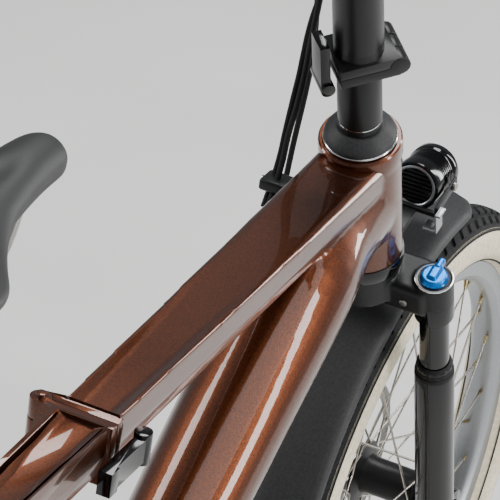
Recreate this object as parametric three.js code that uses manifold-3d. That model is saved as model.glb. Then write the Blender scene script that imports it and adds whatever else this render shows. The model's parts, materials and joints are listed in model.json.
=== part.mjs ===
// A folding bicycle with a suspension fork, mudguards and a belt drive, built
// as separate parts. Millimetres, +X forward, +Y to the rider's left, +Z up.
import * as THREE from 'three';
import { mergeVertices } from 'three/addons/utils/BufferGeometryUtils.js';
import Module from 'manifold-3d';

const wasm = await Module();
wasm.setup();

// ---------------------------------------------------------------- clearances
const FINEST = 0.02; // detail smaller than this is left out
const GAP = 0.3; // between faces that touch
const RUNNING = 0.5; // between faces that turn or slide past each other

// ---------------------------------------------------------- overall geometry
const HEAD_ANGLE = 70;
const SEAT_ANGLE = 72;
const BRACKET_HEIGHT = 290; // crank axis above the ground
const WHEEL_RADIUS = 257;
const CHAINSTAY = WHEEL_RADIUS + 148;
const FRONT_REACH = WHEEL_RADIUS + 478; // crank axis to front axle, along the ground
const AXLE_DROP = WHEEL_RADIUS + 235; // headset ring to front axle, along the steering axis
const AXLE_RAKE = 50;

// -------------------------------------------------------------------- wheels
const TYRE_HALF = 27.5;
const TYRE_SHOULDER = 23.4; // half width where the tread ends
const CASING = 3;
const RIM_BED = WHEEL_RADIUS - 54; // the tyre is 54 deep above it
const RIM_FLANGE = RIM_BED + 8;
const RIM_HALF = 15.5;
const RIM_WALL = 2.5;
const RIM_FLOOR = RIM_BED - 12;
const SPOKES = 36;
const SPOKE_RADIUS = 1.4;
const DISC_RADIUS = 80;
const DISC_THICK = 2;
const FRONT_HUB = { half: 38, shell: 20, flange: 29, flangeY: 29, disc: 41, end: 50 };
const REAR_HUB = { half: 38, shell: 38, flange: 43, flangeY: 29, disc: 49, end: 67.5 };
const AXLE_RADIUS = 5;
const GUARD_INNER = WHEEL_RADIUS + 25;
const GUARD_THICK = 3;
const GUARD_HALF = 28.5;

// ---------------------------------------------------------- head and steering
const HEAD_BORE = 26;
const HEAD_OUTER = HEAD_BORE + 7;
const HEAD_LENGTH = 145;
const COLLAR_OUTER = HEAD_OUTER + 1;
const RING_RADIUS = 30;
const COVER_TOP = 11;
const STEERER = 14.3;
const STEERER_BORE = STEERER - 2.3;
const POST_OUTER = STEERER + 3.2;
const POST_HINGE = 86; // above the headset ring
const LEG_FORWARD = 8.3;
const CROWN_TOP = -152.7;
const CROWN_BOTTOM = -197;
const STANCHION = 12.6;
const STANCHION_BORE = STANCHION - 2.2;
const CLAMP_RADIUS = STANCHION + 3.8;
const LOWER_TOP = -265;
const LOWER_OUTER = STANCHION + 3.9;
const LEG_Y = FRONT_HUB.end + LOWER_OUTER - 5.5;
const LIGHT_RADIUS = 22;
const LIGHT_LENGTH = 44;

// ---------------------------------------------------------------- handlebars
const INNER_POST = 16;
const POST_TUBE_OUTER = INNER_POST + 4;
const POST_TUBE_TOP = 235;
const INNER_POST_BOTTOM = 130;
const BAR_HEIGHT = 330; // above the headset ring, along the steering axis
const BAR_HALF = 295;
const BAR_RADIUS = 11.1;
const BAR_CENTRE = BAR_RADIUS + 4.8;
const GRIP_RADIUS = BAR_RADIUS + 5.4;
const GRIP_LENGTH = 125;
const SHIFTER_LENGTH = 38;

// --------------------------------------------------------------------- frame
const HINGE_X = 60; // the frame's fold axis, ahead of the crank axis
const HINGE_Y = 38;
const UPPER_HINGE_Z = WHEEL_RADIUS + 388;
const LOWER_HINGE_Z = BRACKET_HEIGHT + 60;
const HINGE_PLATE = 9;
const UPPER_REACH = HINGE_Y + 25;
const UPPER_HEIGHT = 50;
const LOWER_REACH = HINGE_Y + 31;
const LOWER_HEIGHT = 84;
const KNUCKLE = 8.5;
const PIN = 4;
const WALL = 3;
const SEATPOST = 17;
const SEAT_TUBE_BORE = SEATPOST + 0.4;
const SEAT_TUBE = SEAT_TUBE_BORE + 3.6;
const SEAT_TUBE_TOP = 468;
const SEATPOST_WALL = 2.5;
const SEATPOST_TOP = 636;
const SEATPOST_BOTTOM = 300;
const SHELL_RADIUS = 24;
const SHELL_HALF = 36;

// --------------------------------------------------------------------- drive
const CRANK = 170;
const CRANK_Y = 62;
const CRANK_THICK = 14;
const SPINDLE = 8;
const RING_PITCH = 80;
const RING_TEETH = 46;
const COG_TEETH = 20;
const COG_PITCH = (RING_PITCH * COG_TEETH) / RING_TEETH;
const BELT_Y = 46;
const BELT_WIDTH = 10;
const BELT_THICK = 4;
const PEDAL_REACH = 98; // fold axis of the pedal, from the middle of the bicycle

// ------------------------------------------------------------------ materials
const look = (color, roughness, metalness) =>
  new THREE.MeshStandardMaterial({ color, roughness, metalness, side: THREE.DoubleSide });
const copper = look(0x8a4a24, 0.3, 0.6);
const blackGloss = look(0x101113, 0.2, 0.3);
const blackMatte = look(0x1c1d1f, 0.7, 0.1);
const charcoal = look(0x38393a, 0.75, 0.1);
const steel = look(0xa9a59e, 0.35, 0.9);
const silver = look(0xc4c6c8, 0.25, 0.9);
const rubber = look(0x202020, 0.9, 0.0);
const blue = look(0x1079c4, 0.3, 0.4);
const leather = look(0x222222, 0.8, 0.0);
const red = look(0xa01010, 0.3, 0.0);

// ------------------------------------------------------------- shape helpers
const v2 = (x, y) => new THREE.Vector2(x, y);
const v3 = (x, y, z) => new THREE.Vector3(x, y, z);
const rad = THREE.MathUtils.degToRad;
const lerp = THREE.MathUtils.lerp;

function signedVolume(position, index) {
  const [a, b, c] = [v3(), v3(), v3()];
  let sum = 0;
  for (let i = 0; i < index.count; i += 3) {
    a.fromBufferAttribute(position, index.getX(i));
    b.fromBufferAttribute(position, index.getX(i + 1));
    c.fromBufferAttribute(position, index.getX(i + 2));
    sum += a.dot(b.cross(c)) / 6;
  }
  return sum;
}

// A closed geometry as a manifold solid, with its shared vertices merged.
function solid(geometry) {
  const bare = geometry.index ? geometry.toNonIndexed() : geometry.clone();
  bare.deleteAttribute('normal');
  bare.deleteAttribute('uv');
  const merged = mergeVertices(bare, 1e-4);
  const flip = signedVolume(merged.attributes.position, merged.index) < 0;
  const corners = [];
  for (let i = 0; i < merged.index.count; i += 3) {
    const [a, b, c] = [0, 1, 2].map((n) => merged.index.getX(i + n));
    const whole = a !== b && b !== c && c !== a;
    if (whole) corners.push(...(flip ? [a, c, b] : [a, b, c]));
  }
  const vertProperties = new Float32Array(merged.attributes.position.array);
  const triVerts = new Uint32Array(corners);
  return new wasm.Manifold(new wasm.Mesh({ numProp: 3, vertProperties, triVerts }));
}

function geometryOf(manifold) {
  const mesh = manifold.getMesh();
  const geometry = new THREE.BufferGeometry();
  geometry.setAttribute('position', new THREE.BufferAttribute(mesh.vertProperties, 3));
  geometry.setIndex(new THREE.BufferAttribute(mesh.triVerts, 1));
  return geometry;
}

const join = (first, ...rest) =>
  geometryOf(rest.reduce((sum, g) => sum.add(solid(g)), solid(first)));
const cut = (first, ...rest) =>
  geometryOf(rest.reduce((sum, g) => sum.subtract(solid(g)), solid(first)));
const common = (first, second) => geometryOf(solid(first).intersect(solid(second)));

// A solid through a row of stations, each placing the outline's points in space.
function loft(outline, stations) {
  const size = outline.length;
  const points = stations.flatMap((place) => outline.map((p, i) => place(p, i)));
  const index = [];
  for (let s = 0; s + 1 < stations.length; s += 1) {
    for (let i = 0; i < size; i += 1) {
      const [a, b] = [s * size + i, s * size + ((i + 1) % size)];
      index.push(a, b, b + size, a, b + size, a + size);
    }
  }
  const end = (stations.length - 1) * size;
  for (const [a, b, c] of THREE.ShapeUtils.triangulateShape(outline, [])) {
    index.push(a, c, b, end + a, end + b, end + c);
  }
  const geometry = new THREE.BufferGeometry().setFromPoints(points);
  geometry.setIndex(index);
  return geometry;
}

const circle = (radius, sides) =>
  Array.from({ length: sides }, (_, i) => {
    const turn = (2 * Math.PI * i) / sides;
    return v2(radius * Math.cos(turn), radius * Math.sin(turn));
  });

function rod(radius, from, to, sides = 14, endRadius = radius) {
  const along = v3().subVectors(to, from);
  const geometry = new THREE.CylinderGeometry(endRadius, radius, along.length(), sides);
  const turn = new THREE.Quaternion().setFromUnitVectors(v3(0, 1, 0), along.clone().normalize());
  geometry.applyQuaternion(turn);
  const middle = v3().addVectors(from, to).multiplyScalar(0.5);
  return geometry.translate(middle.x, middle.y, middle.z);
}

// A rod whose flat sides, and not only its corners, clear the given radius.
const bore = (radius, from, to, sides = 24) =>
  rod(radius / Math.cos(Math.PI / sides), from, to, sides);

function tube(outer, inner, from, to, sides = 16) {
  const past = v3().subVectors(to, from).setLength(1);
  const hollow = bore(inner, v3().subVectors(from, past), v3().addVectors(to, past), sides);
  return cut(rod(outer, from, to, sides), hollow);
}

function block(x0, x1, y0, y1, z0, z1) {
  const geometry = new THREE.BoxGeometry(x1 - x0, y1 - y0, z1 - z0);
  return geometry.translate((x0 + x1) / 2, (y0 + y1) / 2, (z0 + z1) / 2);
}

// A round section carried along a smooth line through the given points.
function bent(radius, points, steps, sides = 8) {
  const path = new THREE.CatmullRomCurve3(points, false, 'centripetal');
  const shape = new THREE.Shape(circle(radius, sides));
  return new THREE.ExtrudeGeometry(shape, { extrudePath: path, steps, bevelEnabled: false });
}

const TURNS = 28; // flat sides round a wheel

// A ring turned about Y from a closed outline of [radius, y] pairs.
function turned(pairs, segments = TURNS) {
  const closed = [...pairs, pairs[0]].map(([r, y]) => v2(r, y));
  return new THREE.LatheGeometry(closed, segments);
}

// The same about Z, from [radius, z] pairs.
const turnedUp = (pairs, segments = 20) => turned(pairs, segments).rotateX(Math.PI / 2);

const place = (parent, name, geometry, material) => {
  const clean = solid(geometry).asOriginal().simplify(FINEST);
  const mesh = new THREE.Mesh(geometryOf(clean).toNonIndexed(), material);
  mesh.geometry.computeVertexNormals();
  mesh.name = name;
  parent.add(mesh);
  return mesh;
};

// ------------------------------------------------------------------- layout
const bicycle = new THREE.Group();
const frame = new THREE.Group(); // origin under the crank axis, on the ground
bicycle.add(frame);

const headTilt = rad(90 - HEAD_ANGLE);
const seatTilt = rad(90 - SEAT_ANGLE);
const up = v3(-Math.sin(headTilt), 0, Math.cos(headTilt));
const forward = v3(Math.cos(headTilt), 0, Math.sin(headTilt));
const bracket = v3(0, 0, BRACKET_HEIGHT);
const rearAxle = v3(-Math.sqrt(CHAINSTAY ** 2 - (BRACKET_HEIGHT - WHEEL_RADIUS) ** 2), 0, WHEEL_RADIUS);
const frontAxle = v3(FRONT_REACH, 0, WHEEL_RADIUS);
const head = frontAxle.clone().addScaledVector(up, AXLE_DROP).addScaledVector(forward, -AXLE_RAKE);

// Steering parts are drawn with +Z up the steering axis from the headset ring.
const steering = new THREE.Group();
steering.position.copy(head);
steering.rotation.y = -headTilt;
frame.add(steering);

// Seat parts are drawn with +Z up the seat tube from the crank axis.
const seat = new THREE.Group();
seat.position.copy(bracket);
seat.rotation.y = -seatTilt;
frame.add(seat);

const inFrame = (group, geometry) => {
  group.updateMatrix();
  return geometry.clone().applyMatrix4(group.matrix);
};

// ------------------------------------------------------------ hoses, cables
// Each is a list of points from the handlebar down, from the headset ring.
const HOSE = 2.5;
const HOSES = {
  rear_brake_hose: [[-87, -84, 311], [-60, -50, 316], [-22, -4, 292], [2, 34, 220], [2, 50, 120],
    [-10, 51, 30], [-26, 50, -6], [-31, 50, -31], [-39, 50, -50], [-52, 49, -66]],
  gear_cable: [[-96, -146, 296], [-50, -118, 250], [-10, -40, 215], [12, 26, 170], [8, 55, 96],
    [-6, 57, 30], [-18, 56, -6], [-23, 56, -31], [-31, 56, -50], [-45, 55, -68]],
  front_brake_hose: [[-87, 84, 311], [-50, 66, 306], [-8, 60, 240], [30, 68, 120], [56, 72, 20],
    [66, 82, -80], [70, 88, -180], [88, 88, -270], [98, 80, -340], [112, 60, -400], [130, 38, -440]],
};

// ------------------------------------------------------------- frame hinges
// A hinge's two halves about a pin along Z: side 1 folds away, side -1 stays.
function hingeHalf(side, reach, height, knuckles) {
  const plate = block(...(side > 0 ? [GAP, HINGE_PLATE] : [-HINGE_PLATE, -GAP]), -reach, 0,
    -height / 2, height / 2);
  const third = height / 6;
  const ends = { middle: [[-third, third]], outer: [[-height / 2, -third], [third, height / 2]] };
  const own = ends[knuckles];
  const others = ends[knuckles === 'middle' ? 'outer' : 'middle'];
  const away = others.map(([z0, z1]) =>
    rod(KNUCKLE + RUNNING, v3(0, 0, z0 - RUNNING), v3(0, 0, z1 + RUNNING)));
  const rolled = own.map(([z0, z1]) => rod(KNUCKLE, v3(0, 0, z0), v3(0, 0, z1)));
  const pinBore = rod(PIN + GAP, v3(0, 0, -height), v3(0, 0, height), 16);
  const half = cut(join(plate, ...rolled), ...away);
  return side > 0 ? cut(half, pinBore) : half;
}

// The staying half with its pin, which runs clear through the half that folds.
function hingeWithPin(reach, height) {
  const pin = rod(PIN, v3(0, 0, -height / 2), v3(0, 0, height / 2 + 3), 16);
  return join(hingeHalf(-1, reach, height, 'outer'), pin);
}

// -------------------------------------------------------------- front frame
// Height of the top tube's creased face and widest edges behind the head.
const creaseAt = (x) => ({ z: -18.2 + 0.039 * x, half: 24.6 + 0.029 * x });
const widestAt = (x) => ({ z: -23 + 0.016 * x, half: 29.1 + 0.0148 * x });
const TOP_TUBE_DEPTH = 44;

function topTubeSection(x, inset) {
  const crease = creaseAt(x);
  const widest = widestAt(x);
  const [a, b] = [crease.half - inset * 0.7, widest.half - inset];
  const [top, shoulder] = [crease.z - inset, widest.z - inset * 0.4];
  const bottom = crease.z - TOP_TUBE_DEPTH + inset;
  const right = [[a, top], [b, shoulder], [b * 0.96, lerp(shoulder, bottom, 0.5)],
    [b * 0.78, lerp(shoulder, bottom, 0.86)], [b * 0.5, bottom]];
  return [...right.map(([y, z]) => v2(-y, z)), ...right.reverse().map(([y, z]) => v2(y, z))];
}

function topTube(from, to, inset, steps = 6) {
  const stations = Array.from({ length: steps + 1 }, (_, s) => {
    const x = lerp(from, to, s / steps);
    const section = topTubeSection(x, inset);
    return (_p, i) => v3(head.x + x, section[i].x, head.z + section[i].y);
  });
  return loft(topTubeSection(from, inset), stations);
}

// The down tube's centre line behind and below the head, with its half sizes.
const DOWN_LINE = [
  { x: 30, z: -66, wide: 33, deep: 46 },
  { x: -25, z: -84, wide: 35, deep: 45 },
  { x: -80, z: -104, wide: 44, deep: 43 },
  { x: -165, z: -161, wide: 45, deep: 42 },
  { x: -260, z: -232, wide: 43, deep: 41 },
  { x: -360, z: -300, wide: 37, deep: 38 },
  { x: -430, z: LOWER_HINGE_Z - head.z + 14, wide: 32, deep: 36 },
  { x: HINGE_X - head.x, z: LOWER_HINGE_Z - head.z - 2, wide: 29, deep: 33 },
];

function downTube(inset, sides = 16) {
  const line = DOWN_LINE.map(({ x, z }) => v3(head.x + x, 0, head.z + z));
  const stations = DOWN_LINE.map(({ wide, deep }, s) => {
    const before = line[Math.max(s - 1, 0)];
    const after = line[Math.min(s + 1, line.length - 1)];
    const along = v3().subVectors(after, before).normalize();
    const across = v3(along.z, 0, -along.x);
    if (across.z < 0) across.negate();
    return (p) => v3(0, p.x * (wide - inset), 0)
      .addScaledVector(across, p.y * (deep - inset)).add(line[s]);
  });
  return loft(circle(1, sides), stations);
}

// A clip on the left of the down tube, with a hole for each hose that it holds.
function hoseClip() {
  const body = join(block(-46, -24, 38, 62, -54, -44), block(-44, -26, 31, 44, -74, -45));
  body.translate(head.x, 0, head.z);
  const held = ['rear_brake_hose', 'gear_cable'].map((name) =>
    bent(HOSE + GAP, HOSES[name].map(([x, y, z]) => v3(head.x + x, y, head.z + z)), 26, 8));
  return cut(body, ...held);
}

const headCore = inFrame(steering, bore(COLLAR_OUTER + GAP, v3(0, 0, -HEAD_LENGTH - 40), v3(0, 0, 30)));
const behindHinge = block(-400, HINGE_X + HINGE_PLATE - 1, -200, 200, 0, 1200);
const frontPlateX = HINGE_X - head.x + HINGE_PLATE - 1;

function frontFrame() {
  place(steering, 'head_tube', turnedUp([
    [HEAD_BORE, -HEAD_LENGTH], [HEAD_OUTER, -HEAD_LENGTH], [HEAD_OUTER, -22],
    [COLLAR_OUTER, -19], [COLLAR_OUTER, -4], [HEAD_BORE, -4],
  ]), copper);
  const upper = hingeHalf(1, UPPER_REACH, UPPER_HEIGHT, 'middle');
  const lower = hingeHalf(1, LOWER_REACH, LOWER_HEIGHT, 'middle');
  upper.translate(HINGE_X, HINGE_Y, UPPER_HINGE_Z);
  lower.translate(HINGE_X, HINGE_Y, LOWER_HINGE_Z);
  const topShell = cut(topTube(-10, frontPlateX, 0), topTube(-9, frontPlateX + 4, WALL));
  place(frame, 'top_tube', join(cut(topShell, downTube(-GAP), headCore), upper), copper);
  const hollow = common(downTube(WALL), block(HINGE_X + HINGE_PLATE, head.x + 99, -99, 99, 0, 1000));
  const outside = join(cut(downTube(0), headCore, behindHinge), lower, hoseClip());
  place(frame, 'down_tube', cut(outside, hollow), copper);
}

// ------------------------------------------------------------- frame latch
// A lever on the right that closes over the joint, turning about its own pin.
const LATCH_AT = { x: HINGE_X + 24, y: HINGE_Y - UPPER_REACH - 10, z: UPPER_HINGE_Z - 2 };
const LATCH_HEIGHT = 26;

function frameLatch() {
  const half = LATCH_HEIGHT / 2;
  const lever = join(
    rod(7, v3(0, 0, -half), v3(0, 0, half), 16),
    block(-52, 0, -5, 4, 3 - half, half - 3),
    block(-62, -50, -7, 4, 3 - half, half - 3),
  );
  place(frame, 'frame_latch', lever.translate(LATCH_AT.x, LATCH_AT.y, LATCH_AT.z), blackGloss);
}

// ---------------------------------------------------------------- rear frame
function seatClamp() {
  const top = SEAT_TUBE_TOP;
  return cut(
    join(
      rod(SEAT_TUBE + 5, v3(0, 0, top - 22), v3(0, 0, top - 2)),
      block(-SEAT_TUBE - 21, -SEAT_TUBE + 1, -9, 9, top - 22, top - 2),
    ),
    rod(SEAT_TUBE_BORE, v3(0, 0, top - 40), v3(0, 0, top + 20), 18),
  );
}

const seatTubeGrown = inFrame(seat, bore(SEAT_TUBE + GAP, v3(0, 0, 0), v3(0, 0, 600)));
const shellGrown = rod(SHELL_RADIUS + GAP, v3(0, -80, BRACKET_HEIGHT), v3(0, 80, BRACKET_HEIGHT), 32);

function rearFrame() {
  const post = inFrame(seat, tube(SEAT_TUBE, SEAT_TUBE_BORE, v3(0, 0, 5), v3(0, 0, SEAT_TUBE_TOP), 18));
  const rearPlateX = HINGE_X - head.x - HINGE_PLATE + 1;
  const seatX = -200 - head.x;
  const stub = cut(topTube(rearPlateX, seatX, 0, 3), topTube(rearPlateX - 4, seatX - 5, WALL, 3));
  const seatCore = inFrame(seat, rod(SEAT_TUBE_BORE, v3(0, 0, 0), v3(0, 0, 600), 18));
  const behindSeat = inFrame(seat, block(-300, 0, -100, 100, 0, 900));
  const upper = hingeWithPin(UPPER_REACH, UPPER_HEIGHT).translate(HINGE_X, HINGE_Y, UPPER_HINGE_Z);
  const solidPost = join(post, cut(stub, behindSeat, seatCore), upper, inFrame(seat, seatClamp()));
  const slit = inFrame(seat, block(-SEAT_TUBE - 29, -15, -1.5, 1.5, SEAT_TUBE_TOP - 40, SEAT_TUBE_TOP + 5));
  place(frame, 'seat_tube', cut(solidPost, shellGrown, slit), copper);
  const lower = hingeWithPin(LOWER_REACH, LOWER_HEIGHT).translate(HINGE_X, HINGE_Y, LOWER_HINGE_Z);

  // the crank bearing shell, with the lug that carries the lower hinge
  const lug = (inset) => loft(circle(1, 20), [
    { x: HINGE_X - HINGE_PLATE + 1 + inset, z: LOWER_HINGE_Z - 5, wide: 29, deep: 31 },
    { x: 30, z: BRACKET_HEIGHT + 32, wide: 30, deep: 27 },
    { x: -4 - inset, z: BRACKET_HEIGHT + 4, wide: 30, deep: 20 },
  ].map(({ x, z, wide, deep }) => (p) =>
    v3(x + p.y * 0.25 * deep, p.x * (wide - inset), z + p.y * (deep - inset))));
  const shell = rod(SHELL_RADIUS, v3(0, -SHELL_HALF, BRACKET_HEIGHT), v3(0, SHELL_HALF, BRACKET_HEIGHT), 32);
  const hollow = rod(SHELL_RADIUS - 5, v3(0, -50, BRACKET_HEIGHT), v3(0, 50, BRACKET_HEIGHT), 32);
  const aheadOfPlate = block(HINGE_X - HINGE_PLATE + 1, 200, -99, 99, 0, 900);
  const standLug = block(-45, 8, -22, 22, 206, BRACKET_HEIGHT - 18);
  const throughPlate = block(-30, -8, -14, 14, 195, 240);
  const shellAndLug = cut(join(shell, lug(0), cut(standLug, throughPlate)), hollow, seatTubeGrown, aheadOfPlate);
  place(frame, 'bottom_bracket_shell', join(shellAndLug, lower), copper);

  for (const [side, name] of [[1, 'left'], [-1, 'right']]) {
    const stayStart = v3(-20, side * 20, BRACKET_HEIGHT - 4);
    const stayEnd = v3(rearAxle.x + 26, side * 72, WHEEL_RADIUS + 3);
    const dropout = block(rearAxle.x - 18, rearAxle.x + 34, side > 0 ? REAR_HUB.end : -REAR_HUB.end - 7,
      side > 0 ? REAR_HUB.end + 7 : -REAR_HUB.end, WHEEL_RADIUS - 18, WHEEL_RADIUS + 18);
    const axleHole = rod(AXLE_RADIUS + GAP, v3(rearAxle.x, -90, WHEEL_RADIUS), v3(rearAxle.x, 90, WHEEL_RADIUS), 16);
    const stay = cut(join(rod(10, stayStart, stayEnd, 14), dropout), shellGrown);
    const axle = rod(AXLE_RADIUS, v3(rearAxle.x, -80, WHEEL_RADIUS), v3(rearAxle.x, 80, WHEEL_RADIUS), 16);
    place(frame, `chainstay_${name}`, side > 0 ? cut(stay, axleHole) : join(stay, axle), copper);

    const low = v3(rearAxle.x + 9, side * 70, WHEEL_RADIUS + 18 + 9);
    const high = v3(-146, side * 20, 690);
    const upperStay = cut(rod(7.5, low, high, 16), seatTubeGrown);
    place(frame, `seatstay_${name}`, upperStay, copper);
  }
}

// ------------------------------------------------------------------- wheels
function wheel(parent, name, hub) {
  const R = WHEEL_RADIUS;
  const half = TYRE_HALF;
  const lip = RIM_HALF - RIM_WALL - GAP;
  const right = [
    [RIM_BED + GAP, lip], [RIM_FLANGE + 1, lip], [R - 33, half], [R - 13, TYRE_SHOULDER],
  ];
  const inner = [
    [R - 12 - CASING, TYRE_SHOULDER - CASING - 1], [R - 33, half - CASING - 1],
    [RIM_FLANGE + 1, lip - CASING], [RIM_BED + GAP, lip - CASING],
  ];
  const mirror = (list) => list.map(([r, y]) => [r, -y]).reverse();
  place(parent, `${name}_tyre`, turned([
    ...right, [R, 0], ...mirror(right), ...mirror(inner), [R - CASING, 0], ...inner,
  ]), rubber);
  const flank = [[RIM_FLOOR, 8], [RIM_FLOOR + 6, RIM_HALF - 1], [RIM_FLANGE, RIM_HALF],
    [RIM_FLANGE, RIM_HALF - RIM_WALL], [RIM_BED, RIM_HALF - RIM_WALL]];
  place(parent, `${name}_rim`, turned([...flank, ...mirror(flank)]), silver);

  const flanges = [-1, 1].map((s) =>
    rod(hub.flange, v3(0, s * (hub.flangeY - 1.5), 0), v3(0, s * (hub.flangeY + 1.5), 0)));
  const shell = rod(hub.shell, v3(0, -hub.half, 0), v3(0, hub.half, 0));
  const spokes = Array.from({ length: SPOKES }, (_, i) => {
    const side = i % 2 ? 1 : -1;
    const rimTurn = (2 * Math.PI * i) / SPOKES;
    const hubTurn = rimTurn + side * rad(62);
    const at = (r, turn, y) => v3(r * Math.cos(turn), y, r * Math.sin(turn));
    return rod(SPOKE_RADIUS, at(hub.flange - 3, hubTurn, side * hub.flangeY),
      at(RIM_FLOOR * Math.cos(Math.PI / TURNS) - GAP, rimTurn, side * 3), 3);
  });
  const axleBore = rod(AXLE_RADIUS + 1.5, v3(0, -60, 0), v3(0, 60, 0), 12);
  const disc = join(
    rod(DISC_RADIUS, v3(0, hub.disc - DISC_THICK / 2, 0), v3(0, hub.disc + DISC_THICK / 2, 0), 28),
    rod(22, v3(0, hub.half - 1, 0), v3(0, hub.disc, 0), 12),
  );
  const turning = join(shell, ...flanges, disc, ...spokes);
  place(parent, `${name}_hub_and_spokes`, cut(turning, axleBore), steel);
}

function brakeCaliper(disc, wide) {
  const body = block(-DISC_RADIUS - 8, -DISC_RADIUS + 19, disc - 9, disc + wide, -24, 24);
  const slot = rod(DISC_RADIUS + 1.5, v3(0, disc - DISC_THICK, 0), v3(0, disc + DISC_THICK, 0), 40);
  return cut(body, slot);
}

// A mudguard about the axle, from one angle to another, measured up from +X.
function mudguard(from, to, steps = 12) {
  const half = GUARD_HALF;
  const [outer, inner] = [GUARD_INNER + GUARD_THICK, GUARD_INNER];
  const side = [[outer - 9, half], [outer - 3.5, half - 1.5], [outer - 0.5, half - 8], [outer + 1, 0]];
  const under = [[inner + 1, 0], [inner - 0.5, half - 9], [inner - 3.5, half - 4], [inner - 6, half - 2.6]];
  const flip = (list) => list.map(([r, y]) => [r, -y]);
  const outline = [
    ...flip(side), ...side.slice(0, -1).reverse(),
    ...under.slice().reverse(), ...flip(under.slice(1)),
  ];
  const flat = outline.map(([r, y]) => v2(r, y));
  const stations = Array.from({ length: steps + 1 }, (_, s) => {
    const turn = rad(lerp(from, to, s / steps));
    return (p) => v3(p.x * Math.cos(turn), p.y, p.x * Math.sin(turn));
  });
  return loft(flat, stations);
}

const frontWheel = new THREE.Group();
frontWheel.position.copy(frontAxle);
const rearWheel = new THREE.Group();
rearWheel.position.copy(rearAxle);
frame.add(frontWheel, rearWheel);

function wheels() {
  wheel(frontWheel, 'front', FRONT_HUB);
  wheel(rearWheel, 'rear', REAR_HUB);
  place(frontWheel, 'front_mudguard', mudguard(84, 218), charcoal);
  place(rearWheel, 'rear_mudguard', mudguard(28, 188), charcoal);
  const lamp = block(0, 16, -24, 24, -16, 16).rotateY(-rad(158));
  const lampAt = GUARD_INNER + GUARD_THICK + 1.5;
  place(rearWheel, 'rear_light', lamp.translate(lampAt * Math.cos(rad(158)), 0, lampAt * Math.sin(rad(158))), red);
  const rear = brakeCaliper(REAR_HUB.disc, 8);
  place(rearWheel, 'rear_brake_caliper', rear.rotateY(rad(180 - 40)), blackMatte);
}

// ------------------------------------------------------------ fork and head
function steeringParts() {
  place(steering, 'headset_cover', turnedUp([
    [STEERER + RUNNING, -4 + GAP], [RING_RADIUS + GAP, -4 + GAP], [RING_RADIUS, -0.5],
    [RING_RADIUS - 2, 3], [POST_OUTER + 3, COVER_TOP - 0.5], [POST_OUTER + 2, COVER_TOP],
    [STEERER + RUNNING, COVER_TOP],
  ]), charcoal);
  // both bearings, linked by the thin sleeve that spaces them apart
  const [outer, inner, low] = [HEAD_BORE - GAP, STEERER + RUNNING, -HEAD_LENGTH + 1];
  place(steering, 'headset_bearings', turnedUp([
    [inner, low], [outer, low], [outer, -6], [inner, -6], [inner, -16],
    [outer - 1.5, -16], [outer - 1.5, low + 10], [inner, low + 10],
  ]), steel);

  const steerer = rod(STEERER, v3(0, 0, -180), v3(0, 0, 60), 24);
  const boss = rod(31, v3(0, 0, CROWN_BOTTOM + 26), v3(0, 0, -HEAD_LENGTH - RUNNING), 28);
  const arms = block(-11, 30, -LEG_Y, LEG_Y, -186, CROWN_TOP - 3);
  const clamps = [-1, 1].map((s) => rod(CLAMP_RADIUS, v3(LEG_FORWARD, s * LEG_Y, CROWN_BOTTOM),
    v3(LEG_FORWARD, s * LEG_Y, CROWN_TOP), 24));
  const sockets = [-1, 1].map((s) => rod(STANCHION + GAP, v3(LEG_FORWARD, s * LEG_Y, CROWN_BOTTOM - 9),
    v3(LEG_FORWARD, s * LEG_Y, CROWN_TOP - 4), 24));
  const steererBore = rod(STEERER_BORE, v3(0, 0, -190), v3(0, 0, 70), 24);
  const crown = cut(join(steerer, boss, arms, ...clamps), ...sockets, steererBore);
  place(steering, 'fork_crown', join(crown, lightBracket()), blackMatte);

  for (const [side, name] of [[1, 'left'], [-1, 'right']]) {
    const at = (z) => v3(LEG_FORWARD, side * LEG_Y, z);
    const bar = tube(STANCHION, STANCHION_BORE, at(-AXLE_DROP + 92), at(CROWN_TOP - 5), 24);
    place(steering, `stanchion_${name}`, bar, blackGloss);
    const inside = FRONT_HUB.end;
    const [y0, y1] = side > 0 ? [inside, inside + 10] : [-inside - 10, -inside];
    const lug = join(
      block(LEG_FORWARD, AXLE_RAKE, y0, y1, -AXLE_DROP - 14, -AXLE_DROP + 34),
      rod(14, v3(AXLE_RAKE, y0, -AXLE_DROP), v3(AXLE_RAKE, y1, -AXLE_DROP), 20),
    );
    const sleeve = rod(LOWER_OUTER - 1, at(LOWER_TOP - 1), at(LOWER_TOP + 9));
    const leg = cut(join(rod(LOWER_OUTER, at(-AXLE_DROP - 8), at(LOWER_TOP)), sleeve), rod(STANCHION + RUNNING, at(-AXLE_DROP + 52), at(0)));
    const through = (radius) => rod(radius, v3(AXLE_RAKE, -66, -AXLE_DROP), v3(AXLE_RAKE, 66, -AXLE_DROP), 16);
    const lower = join(leg, lug);
    place(steering, `fork_lower_${name}`,
      side > 0 ? join(lower, through(AXLE_RADIUS)) : cut(lower, through(AXLE_RADIUS + GAP)), blackGloss);
  }

  const knob = join(
    rod(11, v3(0, 0, 0), v3(0, 0, 5), 20),
    block(-3, 16, -3, 3, 1, 8),
  );
  place(steering, 'lockout_lever', knob.translate(LEG_FORWARD, -LEG_Y, CROWN_TOP + GAP), blue);

  const front = brakeCaliper(FRONT_HUB.disc, 2).translate(AXLE_RAKE, 0, -AXLE_DROP);
  const legGrown = rod(LOWER_OUTER + GAP, v3(LEG_FORWARD, LEG_Y, -AXLE_DROP - 28), v3(LEG_FORWARD, LEG_Y, -200), 24);
  place(steering, 'front_brake_caliper', cut(front, legGrown), blackMatte);
}

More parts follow.
